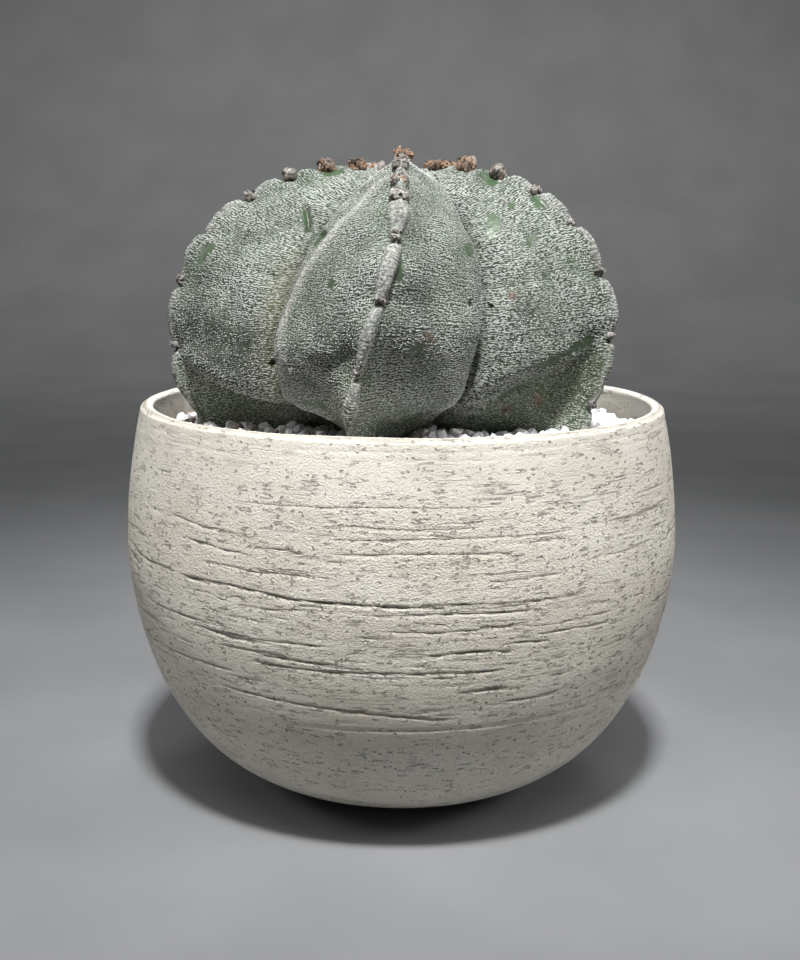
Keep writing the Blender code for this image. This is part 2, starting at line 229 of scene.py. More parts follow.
# Fainter lines that the tool left: height in metres and depth in mm
tool_lines = ((0.0275, 0.16), (0.0215, 0.12), (0.0165, 0.16), (0.1015, 0.10), (0.1034, 0.14))
for level, depth in tool_lines:
    tear += depth * np.exp(-(((outer_height - level) / 0.00035) ** 2)) * (0.5 + 0.9 * dashes)
tear *= ease(outer_height, 0.0012, 0.0060)
turn_out = np.stack([np.sin(pot_turn), -np.cos(pot_turn)], axis=1)
away = np.concatenate([outward[:, None, :1] * turn_out[None],
                       np.repeat(outward[:, None, 1:], pot_columns, axis=1)], axis=2)
pot_grid[:outer_count] = outer_grid - away * (tear / 1000)[..., None]

# Rim and inner wall: a wheel leaves them a little uneven
inner_points = pot_grid[outer_count + len(under):].reshape(-1, 3)
waver = noise_at(inner_points, 45, 5) * 0.00022
pits_in = 0.00030 * ease(noise_at(inner_points, (420, 420, 700), 6), 0.3, 0.7)
inner_way = inner_points[:, :2] / np.linalg.norm(inner_points[:, :2], axis=1, keepdims=True)
upper = ease(inner_points[:, 2], pot_height - 0.014, pot_height - 0.010)
on_lip = ease(inner_points[:, 2], pot_height - 0.0016, pot_height - 0.0006)
inner_points[:, :2] += inner_way * (upper * (waver + pits_in * (1 - on_lip)))[:, None]
inner_points[:, 2] -= (waver + 0.00022) * on_lip
pot_grid[outer_count + len(under):] = inner_points.reshape(-1, pot_columns, 3)

pot_mesh = sheet_mesh("bowl_pot", np.concatenate([pot_grid, pot_grid[:1]]))
for name, values in (("line_gap", line_gap), ("line_here", line_here * torn)):
    elsewhere = np.zeros(len(pot_mesh.vertices) - values.size)
    elsewhere[-pot_columns:] = values[0]  # the last row repeats the first and closes the outline
    mark(pot_mesh, name, np.concatenate([values.ravel(), elsewhere]))
welded(pot_mesh)
clay_points = np.empty(len(pot_mesh.vertices) * 3, dtype=np.float32)
pot_mesh.vertices.foreach_get("co", clay_points)
clay_points = clay_points.reshape(-1, 3)
clay_height = clay_points[:, 2]
inside_by = belly_radius(clay_height) - np.hypot(clay_points[:, 0], clay_points[:, 1])
outside = inside_by < 0.0014
torn_here = ease(clay_height, 0.033, 0.041) * (1 - 0.8 * ease(clay_height, 0.086, 0.100))
mark(pot_mesh, "torn", torn_here * outside)
mark(pot_mesh, "groove", np.clip(inside_by / 0.0010, 0, 1) * outside)
mark(pot_mesh, "lining", (1 - outside) * ease(clay_height, 0.090, 0.100))


def node(kind, inputs=None, **settings):
    """A node with its settings and inputs; an input is a value or another node's socket."""
    made = tree.nodes.new(kind)
    for name, value in settings.items():
        setattr(made, name, value)
    for socket, value in (inputs or {}).items():
        if isinstance(value, bpy.types.NodeSocket):
            tree.links.new(value, made.inputs[socket])
        else:
            made.inputs[socket].default_value = value
    return made


def maths(operation, *values):
    """One step of arithmetic on one, two or three numbers."""
    return node("ShaderNodeMath", dict(enumerate(values)), operation=operation).outputs[0]


def times(*values):
    """Numbers multiplied together."""
    return functools.reduce(lambda total, value: maths("MULTIPLY", total, value), values)


def most(*values):
    """The largest of some numbers."""
    return functools.reduce(lambda total, value: maths("MAXIMUM", total, value), values)


def spread(value, low, high, to_low=0.0, to_high=1.0, way="SMOOTHSTEP"):
    """A value's range from `low` to `high` taken to another range."""
    return node("ShaderNodeMapRange", {
        "Value": value, "From Min": low, "From Max": high, "To Min": to_low, "To Max": to_high,
    }, interpolation_type=way).outputs["Result"]


def tint(factor, under_colour, over_colour):
    """One colour laid over another by a factor."""
    colours = [(*c, 1.0) if isinstance(c, tuple) else c for c in (under_colour, over_colour)]
    return node("ShaderNodeMix", {0: factor, 6: colours[0], 7: colours[1]},
                data_type="RGBA").outputs[2]


def layered(colour, *coats):
    """A colour with other colours laid over it in turn, each by its own factor."""
    for factor, over in coats:
        colour = tint(factor, colour, over)
    return colour


def sized(stretch):
    """The object's own coordinates times `stretch` per metre, one number or one for each axis."""
    scale = stretch if isinstance(stretch, tuple) else (stretch,) * 3
    where = node("ShaderNodeTexCoord").outputs["Object"]
    return node("ShaderNodeMapping", {"Vector": where, "Scale": scale}).outputs[0]


def grain(stretch, detail=2.0, roughness=0.5, distortion=0.0):
    """Noise of so many grains per metre."""
    return node("ShaderNodeTexNoise", {
        "Vector": sized(stretch), "Scale": 1.0, "Detail": detail, "Roughness": roughness,
        "Distortion": distortion}).outputs["Fac"]


def cells(stretch):
    """Cells, so many per metre, for chips and grit: a colour each, and distance to the middle."""
    return node("ShaderNodeTexVoronoi", {"Vector": sized(stretch), "Scale": 1.0}).outputs


def raised(height, distance, under=None):
    """Relief `distance` metres high, over another relief if one is given."""
    inputs = {"Height": height, "Distance": distance, "Strength": 1.0}
    if under:
        inputs["Normal"] = under
    return node("ShaderNodeBump", inputs).outputs["Normal"]


def finish(name, roughness):
    """A new material; what follows is added to its tree, until another tree is begun."""
    global tree, shader
    made = bpy.data.materials.new(name)
    made.use_nodes = True
    tree, shader = made.node_tree, made.node_tree.nodes["Principled BSDF"]
    shader.inputs["Roughness"].default_value = roughness
    return made


def coat(colour, relief=None):
    """Give the shader its colour and its relief."""
    tree.links.new(colour, shader.inputs["Base Color"])
    if relief:
        tree.links.new(relief, shader.inputs["Normal"])


def read(name, output="Fac"):
    """A value stored on the mesh."""
    return node("ShaderNodeAttribute", attribute_name=name).outputs[output]


clay = finish("torn_clay", 0.92)
dragged = read("torn")
sand = grain((2300, 2300, 3000), 3, 0.65)
height_up = node("ShaderNodeSeparateXYZ", {
    0: node("ShaderNodeTexCoord").outputs["Object"]}).outputs[2]


def cracks(stretch, width, detail=3.0):
    """Thin ragged lines, where stretched noise passes its middle."""
    level = grain(stretch, detail, 0.55, 0.35)
    off = maths("ABSOLUTE", maths("SUBTRACT", level, 0.5))
    return spread(off, width * 0.3, width, 1.0, 0.0)


def chosen_cells(stretch, share, size):
    """Chips in a share of the cells, with a sharp ragged edge."""
    cell = cells(stretch)
    picked = node("ShaderNodeSeparateColor", {0: cell["Color"]}).outputs[0]
    picked = spread(picked, share - 0.02, share, 1.0, 0.0)
    edge = maths("ADD", cell["Distance"], spread(sand, 0.3, 0.7, -0.16, 0.16))
    return times(picked, spread(edge, size * 0.75, size, 1.0, 0.0))


long_cracks = times(cracks((10, 10, 820), 0.013, 2.0), dragged,
                    spread(grain((75, 75, 420), 3), 0.54, 0.58))
short_cracks = times(cracks((170, 170, 1500), 0.020),
                     spread(grain((170, 170, 480), 2), 0.59, 0.64),
                     spread(dragged, 0.0, 1.0, 0.45, 1.0))
# Chips lie thickest on the dragged belly and under the turned line, in patches
chips = times(
    most(chosen_cells((350, 350, 1150), 0.17, 0.31), chosen_cells((190, 190, 1150), 0.15, 0.27)),
    spread(grain((55, 55, 130), 3), 0.36, 0.56, 0.15, 1.0),
    most(spread(dragged, 0.0, 1.0, 0.15, 1.0), spread(height_up, 0.031, 0.040, 0.80, 0.0)))
pinholes = chosen_cells((800, 800, 1050), 0.10, 0.34)
line_off = maths("ADD", read("line_gap"), spread(sand, 0.3, 0.7, -0.11, 0.11))
hairlines = times(spread(maths("ABSOLUTE", line_off), 0.07, 0.20, 1.0, 0.0), read("line_here"),
                  spread(grain((260, 260, 600), 3, 0.6), 0.40, 0.48, 0.25, 1.0))
hollow = most(long_cracks, short_cracks, chips, pinholes, hairlines)
clay_tone = layered(
    (0.645, 0.611, 0.534),
    (spread(grain((28, 28, 60), 4, 0.6), 0.35, 0.68), (0.74, 0.712, 0.640)),
    (spread(grain((60, 60, 90), 3, 0.55), 0.62, 0.76, 0.0, 0.16), (0.66, 0.53, 0.43)),
    (spread(sand, 0.36, 0.54, 0.34, 0.0), (0.40, 0.36, 0.295)),
    # cracks, chips, pinholes and hairlines darker: painted shade in them, over their bumped relief
    (times(hollow, 0.42), (0.19, 0.155, 0.11)),
    # darker in the deeper torn grooves: painted shade in them
    (spread(read("groove"), 0.35, 0.8, 0.0, 0.45), (0.21, 0.18, 0.135)),
    # the inner wall near the rim paler: painted light on it
    (read("lining"), tint(sand, (0.72, 0.685, 0.61), (0.88, 0.855, 0.79))),
    # darker towards the foot: painted shade where the bowl meets the floor
    (spread(height_up, 0.0005, 0.0035, 0.75, 0.0), (0.10, 0.088, 0.055)),
    # the collar a little darker: painted shade in place of the shade its coarser relief would cast
    (spread(height_up, 0.076, 0.100, 0.0, 0.13), (0.12, 0.12, 0.13)))
coarse = spread(height_up, 0.084, 0.100, 1.0, 0.55)  # the collar was sponged smooth
relief = raised(times(sand, coarse), 0.00036)
relief = raised(times(grain((1500, 1500, 1900), 2, 0.6), coarse), 0.00034, relief)
coat(clay_tone, raised(hollow, -0.00095, relief))

pot = placed("bowl_pot", pot_mesh, clay)
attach(pot, "root")
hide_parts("pot")


# ---- Drain net -----------------------------------------------------------------------------
# A disc of black plastic net, cut by hand and laid over the drain hole, so that the soil stays
# in and water runs out.

net_finish = finish("net_plastic", 0.5)
scuffed = spread(grain(900, 3), 0.4, 0.7)
coat(tint(scuffed, (0.018, 0.018, 0.018), (0.060, 0.055, 0.048)), raised(grain(2200), 0.00005))
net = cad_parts["drain_net"]
net.data.materials.clear()
net.data.materials.append(net_finish)


# ---- Soil ----------------------------------------------------------------------------------
# Gritty potting mix that fills the bowl round the tap root, under the gravel.  It was poured in
# dry and knocked down, and nothing else holds the plant.

soil_finish = finish("potting_soil", 1.0)
crumb = grain(420, 4, 0.7)
grit = spread(cells(330)["Distance"], 0.10, 0.24, 0.8, 0.0)
earth = layered((0.030, 0.020, 0.013), (spread(crumb, 0.35, 0.65), (0.115, 0.080, 0.052)),
                (grit, (0.36, 0.31, 0.25)))
coat(earth, raised(crumb, 0.0016))
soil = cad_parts["soil"]
soil.data.materials.clear()
soil.data.materials.append(soil_finish)


# ---- Cactus body ---------------------------------------------------------------------------
# One succulent stem of five swollen ribs on a tap root.  Each crest is a dusty corky cord,
# pinched in under every areole; low down each flank folds in to a thin keel.

# Outlines down a crest and down the valley beside it: radius and height in metres
crest_outline = [
    (0.000, 0.1668), (0.009, 0.1688), (0.020, 0.1691), (0.034, 0.1652), (0.048, 0.1557),
    (0.0575, 0.1435), (0.0610, 0.1290), (0.0592, 0.1160), (0.0555, 0.1045), (0.0490, 0.0930),
    (0.0340, 0.0840), (0.0150, 0.0780), (0.0065, 0.0660), (0.0022, 0.0460),
]
valley_outline = [
    (0.000, 0.1668), (0.004, 0.1660), (0.010, 0.1635), (0.021, 0.1565), (0.0315, 0.1485),
    (0.0380, 0.1385), (0.0410, 0.1275), (0.0395, 0.1185), (0.0345, 0.1105), (0.0265, 0.1060),
    (0.0180, 0.0980), (0.0105, 0.0795), (0.0060, 0.0660), (0.0020, 0.0460),
]
# Each rib: azimuth at crown and at soil, reach and lift of its crest, shift of its areoles, and
# the reach of the valley after it
ribs = [
    (-1.0, -17.0, 1.00, 0.0012, 0.35, 0.93), (66.0, 64.0, 0.955, -0.0005, -0.10, 1.00),
    (140.0, 137.0, 0.98, -0.0005, 0.20, 1.00), (-148.0, -152.0, 0.99, -0.0010, 0.45, 1.02),
    (-76.0, -79.0, 1.015, -0.0008, 0.10, 1.09),
]
areole_start, areole_step, areole_growth = 0.0120, 0.0070, 0.0009
areoles_on_rib, lowest_areole = 8, 0.1075
scallop_height, swelling, keel_thinning = 0.0011, 0.0050, 0.0042
flank_columns = 46
body_row, root_row = 0.0525, 0.35  # between rows above and under the gravel, in areoles
# Where a flank folds in to its keel: areole at the crest, how much lower at the valley, softness
usual_fold = (5.6, 1.7, 0.0)
fold_spacing = 17.0  # mm from areole to areole where the folds are
own_folds = {(4, 1): (6.15, 1.15, 0.05), (0, -1): (5.95, 1.7, 0.55), (0, 1): (5.95, 1.7, 0.55),
             (1, -1): (5.75, 1.55, 0.30)}


def smooth_line(points, samples=12):
    """A curve through the points, `samples` to a span."""
    dense = []
    ends = [points[0], *points, points[-1]]
    for i in range(len(points) - 1):
        a, b, c, d = (np.array(p) for p in ends[i : i + 4])
        for j in range(samples):
            t = j / samples
            dense.append(0.5 * (2 * b + (c - a) * t + (2 * a - 5 * b + 4 * c - d) * t**2
                                + (3 * b - a - 3 * c + d) * t**3))
    dense.append(np.array(points[-1]))
    return np.array(dense)


crest_line, valley_line = smooth_line(crest_outline), smooth_line(valley_outline)
crest_length = np.concatenate(
    [[0.0], np.cumsum(np.linalg.norm(np.diff(crest_line, axis=0), axis=1))])
stations = np.arange(len(crest_length))


def areole_length(k):
    """Length down a crest to areole k, which may be a fraction."""
    return areole_start + k * (areole_step + areole_growth * k)


def areole_number(length):
    """The inverse of areole_length."""
    root = areole_step**2 - 4 * areole_growth * (areole_start - length)
    return (math.sqrt(root) - areole_step) / (2 * areole_growth)


def along(line, k):
    """Radius and height on an outline, level with areole k."""
    station = np.interp(areole_length(k), crest_length, stations)
    return np.interp(station, stations, line[:, 0]), np.interp(station, stations, line[:, 1])


def polar(radius, azimuth, height):
    """Points round the plant's axis; azimuth 0 is the front."""
    return np.stack(np.broadcast_arrays(
        radius * np.sin(azimuth), -radius * np.cos(azimuth), height), axis=-1)


def rib_azimuth(rib, k):
    """A rib leans round the plant as it goes down."""
    crown, at_soil = ribs[rib][:2]
    return np.radians(crown + (at_soil - crown) * ease(k, 3.8, 8.6))


def crest_point(rib, k):
    """Points on a rib's crest, which stands out between areoles."""
    reach, lift, shift = ribs[rib][2:5]
    radius, height = along(crest_line, k)
    above = ease(k, -2, 0) * (1 - ease(k, 8, 9))
    scallop = scallop_height * above * np.abs(np.sin(np.pi * (k - shift))) ** 0.7
    return polar(radius * (1 + (reach - 1) * above) + scallop, rib_azimuth(rib, k),
                 height + lift * above)


def flank_point(rib, side, across, k):
    """Points on a rib's flank: `across` runs from crest to valley on side 1 or -1."""
    neighbour = (rib + side) % len(ribs)
    here, there = rib_azimuth(rib, k), rib_azimuth(neighbour, k)
    between = here + side * ((there - here) * side % math.tau) / 2
    reach = ribs[rib if side > 0 else neighbour][5]
    radius, height = along(valley_line, k)
    radius = radius * (1 + (reach - 1) * ease(k, 0, 3) * (1 - ease(k, 7, 9)))
    crest = crest_point(rib, k)
    chord = polar(radius, between, height) - crest
    out = np.stack([chord[..., 1], -chord[..., 0], 0 * chord[..., 0]], axis=-1)
    out /= np.linalg.norm(out, axis=-1, keepdims=True) + 1e-12
    out *= np.where(np.sum(out * (2 * crest + chord), axis=-1) < 0, -1.0, 1.0)[..., None]
    fold_start, fold_drop, soft = own_folds.get((rib, side), usual_fold)
    fold = fold_start + fold_drop * across
    below = ease(k, fold - 0.10 - soft, fold + 0.30 + soft)
    full = ease(k, -2.2, 2.5) * (1 - below)
    swollen = swelling * full * across * (1 - across**7) / 0.650
    thin = keel_thinning * below * (1 - ease(k, 8, 10)) * np.sin(np.pi * across)
    return crest + chord * across[..., None] + out * (swollen - thin)[..., None]


last_row = areole_number(crest_length[-1])
rows = np.concatenate([np.arange(areole_number(0.0006), 8.0, body_row),
                       np.arange(8.0, last_row, root_row)])
even = np.linspace(0, 1, flank_columns + 1)
across_row = even - 0.42 * np.sin(math.tau * even) / math.tau  # closer at crest and valley
sections, rib_of, side_of, across_of = [], [], [], []
k_grid, across_grid = np.meshgrid(rows, across_row, indexing="ij")
for rib in range(len(ribs)):
    left, right = (flank_point(rib, side, across_grid, k_grid) for side in (-1, 1))
    sections += [left[:, ::-1], right[:, 1:-1]]
    rib_of += [rib] * (2 * flank_columns)
    side_of += [-1] * (flank_columns + 1) + [1] * (flank_columns - 1)
    across_of += [*across_row[::-1], *across_row[1:-1]]
body = np.concatenate(sections, axis=1)
rib_of, side_of, across_of = np.array(rib_of), np.array(side_of), np.array(across_of)
down = np.repeat(rows[:, None], body.shape[1], axis=1)
around_body = np.roll(body, -1, axis=1) - np.roll(body, 1, axis=1)
skin_normal = np.cross(around_body, -np.gradient(body, axis=0))
skin_normal /= np.linalg.norm(skin_normal, axis=-1, keepdims=True) + 1e-12

crest_now = np.stack([crest_point(rib, rows) for rib in range(len(ribs))], axis=1)[:, rib_of]
from_crest = np.linalg.norm(body - crest_now, axis=-1) * 1000  # mm
flank_width = np.empty_like(from_crest)
for rib in range(len(ribs)):
    for side in (-1, 1):
        here = (rib_of == rib) & (side_of == side)
        valley = flank_point(rib, side, np.ones_like(rows), rows)
        wide = np.linalg.norm(valley - crest_now[:, rib_of == rib][:, 0], axis=-1)
        flank_width[:, here] = wide[:, None] * 1000
from_valley = flank_width * (1 - across_of)
length_down = areole_length(down) * 1000
shift_of = np.array([ribs[rib][4] for rib in rib_of])
flesh = body.reshape(-1, 3)


def to_line(points):
    """Distance in mm from each point of the skin to a line of (rib, side, across, k) points."""
    path = [flank_point(rib, side, np.array([a]), np.array([k]))[0] for rib, side, a, k in points]
    nearest = np.full(len(flesh), 1e3)
    for start, end in zip(path, path[1:] or path):
        step = end - start
        t = np.clip((flesh - start) @ step / max(step @ step, 1e-12), 0, 1)
        gap = np.linalg.norm(flesh - start - t[:, None] * step, axis=1) * 1000
        nearest = np.minimum(nearest, gap)
    return nearest.reshape(from_crest.shape)


# Patches that have lost their flecks: half width in mm, then the points of its middle line
bare_patches = [
    (1.7, [(0, -1, 0.63, 7.0), (0, -1, 0.48, 6.98)]),
    (1.9, [(0, 1, 0.37, 6.12), (0, 1, 0.40, 6.0)]), (1.6, [(0, -1, 0.46, 5.03)]),
    (1.7, [(0, 1, 0.71, 4.2), (1, -1, 0.74, 3.6), (1, -1, 0.66, 3.2)]),
    (1.1, [(4, 1, 0.72, 2.86), (4, 1, 0.88, 3.3), (0, -1, 0.72, 3.8)]),
    (1.5, [(0, -1, 0.76, 3.95)]), (2.1, [(4, 1, 0.21, 1.1), (4, 1, 0.22, 1.3)]),
    (1.8, [(1, -1, 0.10, 1.7), (1, -1, 0.24, 2.1)]), (1.0, [(1, -1, 0.38, 3.04)]),
    (1.7, [(1, -1, 0.12, 3.1), (1, -1, 0.15, 3.3)]),
    (1.4, [(1, -1, 0.46, 4.0), (1, -1, 0.50, 4.15)]), (1.5, [(1, -1, 0.12, 7.2)]),
    (1.3, [(1, -1, 0.52, 6.36), (1, -1, 0.16, 5.98)]), (1.5, [(3, -1, 0.30, 5.2)]),
    (1.5, [(1, -1, 0.66, 6.98), (1, -1, 0.44, 6.55)]),
    (1.6, [(4, 1, 0.19, 4.45), (4, 1, 0.17, 4.7)]),
    (1.5, [(0, 1, 0.07, 4.75), (0, 1, 0.08, 5.0)]), (2.0, [(3, 1, 0.40, 3.1), (3, 1, 0.46, 3.4)]),
    (1.8, [(2, 1, 0.55, 4.4), (2, 1, 0.48, 4.8)]),
    (1.6, [(2, -1, 0.25, 2.4), (2, -1, 0.35, 2.6)]),
    (1.4, [(4, -1, 0.60, 5.9), (4, -1, 0.35, 5.7)]),
    (1.8, [(1, 1, 0.30, 3.9), (1, 1, 0.36, 4.1)]), (1.4, [(2, 1, 0.50, 6.4), (2, 1, 0.22, 6.0)]),
    (1.3, [(3, 1, 0.55, 6.5), (3, 1, 0.30, 6.1)]),
]
# Corky scars, reddish brown: half width in mm, then the middle line
cork_scars = [
    (1.7, [(4, 1, 0.44, 6.7), (4, 1, 0.42, 6.85)]), (0.9, [(4, 1, 0.24, 6.76)]),
    (1.0, [(0, 1, 0.42, 5.8), (0, 1, 0.46, 5.92)]), (0.8, [(1, -1, 0.24, 7.13)]),
    (1.2, [(1, -1, 0.39, 6.42), (1, -1, 0.28, 6.28)]), (1.4, [(1, -1, 0.38, 6.95)]),
    (1.6, [(1, -1, 0.60, 7.2)]), (1.2, [(0, 1, 0.75, 7.3)]), (0.9, [(0, -1, 0.13, 6.95)]),
    (1.1, [(1, -1, 0.79, 5.1)]), (1.3, [(2, -1, 0.40, 6.3)]), (1.2, [(3, -1, 0.35, 6.6)]),
    (1.0, [(1, 1, 0.45, 6.5)]), (1.2, [(2, 1, 0.62, 5.6)]), (1.3, [(3, 1, 0.70, 5.4)]),
]
pits_in_skin = [(0, 1, 0.73, 5.26), (1, -1, 0.94, 5.28), (0, 1, 0.88, 5.91), (4, 1, 0.96, 6.44),
                (0, -1, 0.87, 6.5), (2, 1, 0.8, 4.9), (3, -1, 0.85, 5.6)]
ridge_by_valley = [(0, -1, 0.23, 2.55), (0, -1, 0.45, 3.3), (0, -1, 0.63, 3.99),
                   (0, -1, 0.77, 4.83), (0, -1, 0.80, 5.61), (0, -1, 0.73, 6.26),
                   (0, -1, 0.82, 7.0)]
split_in_skin = [(4, 1, 0.70, 2.75), (4, 1, 0.88, 3.3), (0, -1, 0.72, 3.80)]
crease_in_flank = [(4, 1, 0.70, 4.66), (4, 1, 0.86, 4.74), (0, -1, 0.90, 4.81)]
pinch_in_flank = [(0, -1, 0.46, 6.21), (0, -1, 0.27, 6.28), (0, -1, 0.14, 6.11)]

ragged_edge = noise_at(body, 520, 8)
soft_edge = noise_at(body, 190, 9)
bare, cork, pit_depth = (np.zeros_like(from_crest) for _ in range(3))
for half, line in bare_patches:
    gap = to_line(line) / half + 0.45 * ragged_edge + 0.55 * soft_edge
    bare = np.maximum(bare, 1 - ease(gap, 0.55, 1.30))
for half, line in cork_scars:
    gap = to_line(line) / half + 0.5 * ragged_edge
    cork = np.maximum(cork, 1 - ease(gap, 0.6, 1.2))
for spot in pits_in_skin:
    pit_depth = np.maximum(pit_depth, 1 - ease(to_line([spot]), 0.4, 1.3))
ridge, split, crease, pinch = (np.exp(-((to_line(line) / half) ** 2)) for line, half in (
    (ridge_by_valley, 1.15), (split_in_skin, 0.75), (crease_in_flank, 0.8), (pinch_in_flank, 1.3)))

showing = ease(down, -0.5, 1.0) * (1 - ease(down, 8.2, 9.0))
between_areoles = np.abs(np.sin(np.pi * (down - shift_of)))
front_rib = rib_of == 0
pad = np.exp(-(((down - shift_of - 3.45) / 0.55) ** 2))  # the broad woolly pad high on each rib
cord_starts, cord_ends = ease(down, 1.6, 3.0), 1 - ease(down, 8.0, 8.6)
cord_fades = ease(down, 6.3, 7.0)  # on the front rib alone
cord_half = (1.45 + 0.40 * between_areoles**0.6) * (1 + 0.65 * pad) * np.where(front_rib, 1, 0.78)
cord_half *= 1 + 0.40 * noise_at(body, 240, 12)
cord = np.exp(-((from_crest / cord_half) ** 4)) * cord_starts * cord_ends
cord *= np.where(front_rib, 1 - 0.65 * cord_fades, 1.0)
cord_rise = np.sqrt(np.clip(1 - (from_crest / (cord_half * 1.15)) ** 2, 0, 1)) * cord_starts
cord_rise *= (cord_ends * np.where(front_rib, 1 - 0.5 * cord_fades, 1.0)
              * (0.70 + 0.30 * between_areoles**0.5) * np.where(front_rib, 0.85, 0.50))
beside_cord = np.exp(-(((from_crest - cord_half - 0.9) / 0.9) ** 2)) * cord_starts * showing
notch = np.zeros_like(from_crest)
for number in range(areoles_on_rib):
    under_it = length_down - (areole_length(number + shift_of) * 1000 + 1.5)[None]
    notch = np.maximum(notch, np.exp(-((under_it / 0.80) ** 2) - (from_crest / 1.9) ** 2))
notch *= ease(down, 0.4, 2.0) * showing * np.where(front_rib, 1.0, 0.75)
lobes = -np.cos(math.tau * (down - shift_of)) * np.exp(-from_crest / 9)
flank_folds = np.array([own_folds.get(flank, usual_fold) for flank in zip(rib_of, side_of)])
fold_line = flank_folds[:, 0] + flank_folds[:, 1] * across_of
fold_gap = (down - fold_line - 0.10) * fold_spacing  # mm below the fold
fold_ends = ease(across_of, 0.05, 0.25) * (1 - ease(across_of, 0.93, 1.0))
fold_ends *= np.where(front_rib, 0.25, 1.0)
fold_crease = np.exp(-(((fold_gap - 1.6) / 1.5) ** 2)) * fold_ends
fold_lip = np.exp(-(((fold_gap + 1.6) / 1.7) ** 2)) * fold_ends
wrinkle, lumps = noise_at(body, 75, 10), noise_at(body, 170, 11)
# Height of all relief in mm, over the plain swollen body
rise = 0.90 * cord_rise - 0.16 * beside_cord - 1.25 * notch + 0.30 * lobes * showing
rise += showing * (0.90 * wrinkle + 0.24 * lumps + 0.05 * ragged_edge)
rise += cord * (0.30 * lumps + (0.16 + 0.30 * pad) * ragged_edge)
rise -= 1.0 * np.exp(-((from_valley / 1.1) ** 2)) * ease(down, 1.0, 3.0)
rise += 0.85 * ridge - 0.9 * split - 0.55 * crease - 0.75 * pinch - 0.9 * pit_depth
rise += 0.14 * cork * (1 + ragged_edge) - 0.12 * bare - 0.80 * fold_crease + 0.55 * fold_lip
rise *= (1 - ease(down, 8.8, 9.6)) * ease(down, -1.8, -1.2)  # none on the root or the crown's top
skin = body + skin_normal * (rise / 1000)[..., None]

body_mesh = sheet_mesh("cactus_body", skin)
closing = bmesh.new()
closing.from_mesh(body_mesh)
root_tip = closing.verts.new(tuple(skin[-1].mean(axis=0) - np.array([0, 0, 0.0004])))
crown_top = closing.verts.new(tuple(skin[0].mean(axis=0) + np.array([0, 0, 0.0002])))
closing.verts.ensure_lookup_table()
ring = body.shape[1]
base = (len(rows) - 1) * ring
for j in range(ring):
    closing.faces.new((closing.verts[base + j], root_tip, closing.verts[base + (j + 1) % ring]))
    closing.faces.new((closing.verts[j], closing.verts[(j + 1) % ring], crown_top))
bmesh.ops.recalc_face_normals(closing, faces=closing.faces)
for face in closing.faces:
    face.smooth = True
closing.to_mesh(body_mesh)
closing.free()

fleck_way = around_body / (np.linalg.norm(around_body, axis=-1, keepdims=True) + 1e-12)
# Where the felt's pattern lies: mm round from the crest, mm down it, and a layer for each rib
felt_place = np.stack([from_crest * side_of, length_down,
                       np.tile(rib_of * 37.0, (len(rows), 1))], axis=-1)
low_keel = ease(down, fold_line + 0.05, fold_line + 0.4)
pale = np.clip(0.50 + 0.50 * wrinkle + 0.30 * soft_edge + 0.06 * (1 - ease(down, 1.5, 4.0))
               - 0.18 * low_keel + 0.25 * np.exp(-((from_valley / 7) ** 2)), 0, 1)
yellowed = np.exp(-((from_valley / 4.2) ** 2)) * ease(down, 3.6, 4.8)
yellowed = np.maximum(yellowed * ((rib_of == 4) & (side_of == 1)), 0.18 * low_keel)
for name, values in (
    ("bare", bare), ("cork", cork), ("cord", cord * np.where(front_rib, 1.0, 0.6)),
    ("pale", pale), ("yellowed", yellowed), ("split", np.maximum(split, pit_depth)),
    ("ridge", ridge), ("notch", notch), ("keel", low_keel),
):
    mark(body_mesh, name, np.concatenate([values.ravel(), [0, values[0].mean()]]))
mark(body_mesh, "rib", np.concatenate([np.tile(rib_of, len(rows)), [0, 0]]))
mark(body_mesh, "down", np.concatenate([down.ravel(), [last_row, -1.8]]))
for name, ways in (("fleck_way", fleck_way), ("felt_place", felt_place)):
    mark(body_mesh, name, np.concatenate([ways.ravel(), ways[-1, 0], ways[0, 0]]), "FLOAT_VECTOR")

felt_pitch = 0.70  # mm from one row of felt to the next
felt_bend, felt_breaks = 2.0, 2.8  # how far noise bends a row, and how much of it noise breaks
felt_edge = 0.52  # the pattern's level at the edge of a dash


def felt_pattern(place):
    """The wavy dashes that the felt lies in: rows round the plant, bent and broken by noise."""
    bend, gap = (node("ShaderNodeTexNoise", {
        "Vector": place, "Scale": per_mm, "Detail": 0.0}).outputs["Fac"] for per_mm in (0.55, 1.9))
    row = node("ShaderNodeSeparateXYZ", {0: place}).outputs[1]
    turns = maths("MULTIPLY_ADD", bend, felt_bend, times(row, 1 / felt_pitch))
    wave = maths("SINE", times(turns, math.tau))
    wave = maths("MULTIPLY_ADD", wave, 0.5, 0.5 - felt_breaks / 2)
    return maths("MULTIPLY_ADD", gap, felt_breaks, wave)


def mottled(stretch, low, high, dark, light):
    """Two tones mixed by fine noise."""
    return tint(spread(grain(stretch, 3, 0.6), low, high), dark, light)


skin_finish = finish("flecked_skin", 0.62)
blotch, fine = grain(120, 4, 0.6), grain(1700, 2, 0.6)
rubbed = spread(grain(650, 3, 0.6), 0.35, 0.65, -0.30, 0.22)
bare_here = spread(maths("ADD", read("bare"), rubbed), 0.32, 0.78)
green = layered(
    (0.018, 0.029, 0.016),
    (spread(blotch, 0.35, 0.66), (0.046, 0.068, 0.038)),
    (spread(grain(420, 3), 0.5, 0.72, 0.0, 0.4), (0.085, 0.075, 0.058)),
    (spread(read("keel"), 0.0, 1.0, 0.0, 0.75), (0.030, 0.058, 0.022)))
dash = felt_pattern(read("felt_place", "Vector"))
dust = times(spread(dash, felt_edge - 0.14, felt_edge + 0.10),
             spread(read("pale"), 0.1, 0.9, 0.35, 1.0), spread(fine, 0.30, 0.55, 0.55, 1.0))
fresh = spread(read("down"), 3.0, 4.4, 0.62, 0.0)
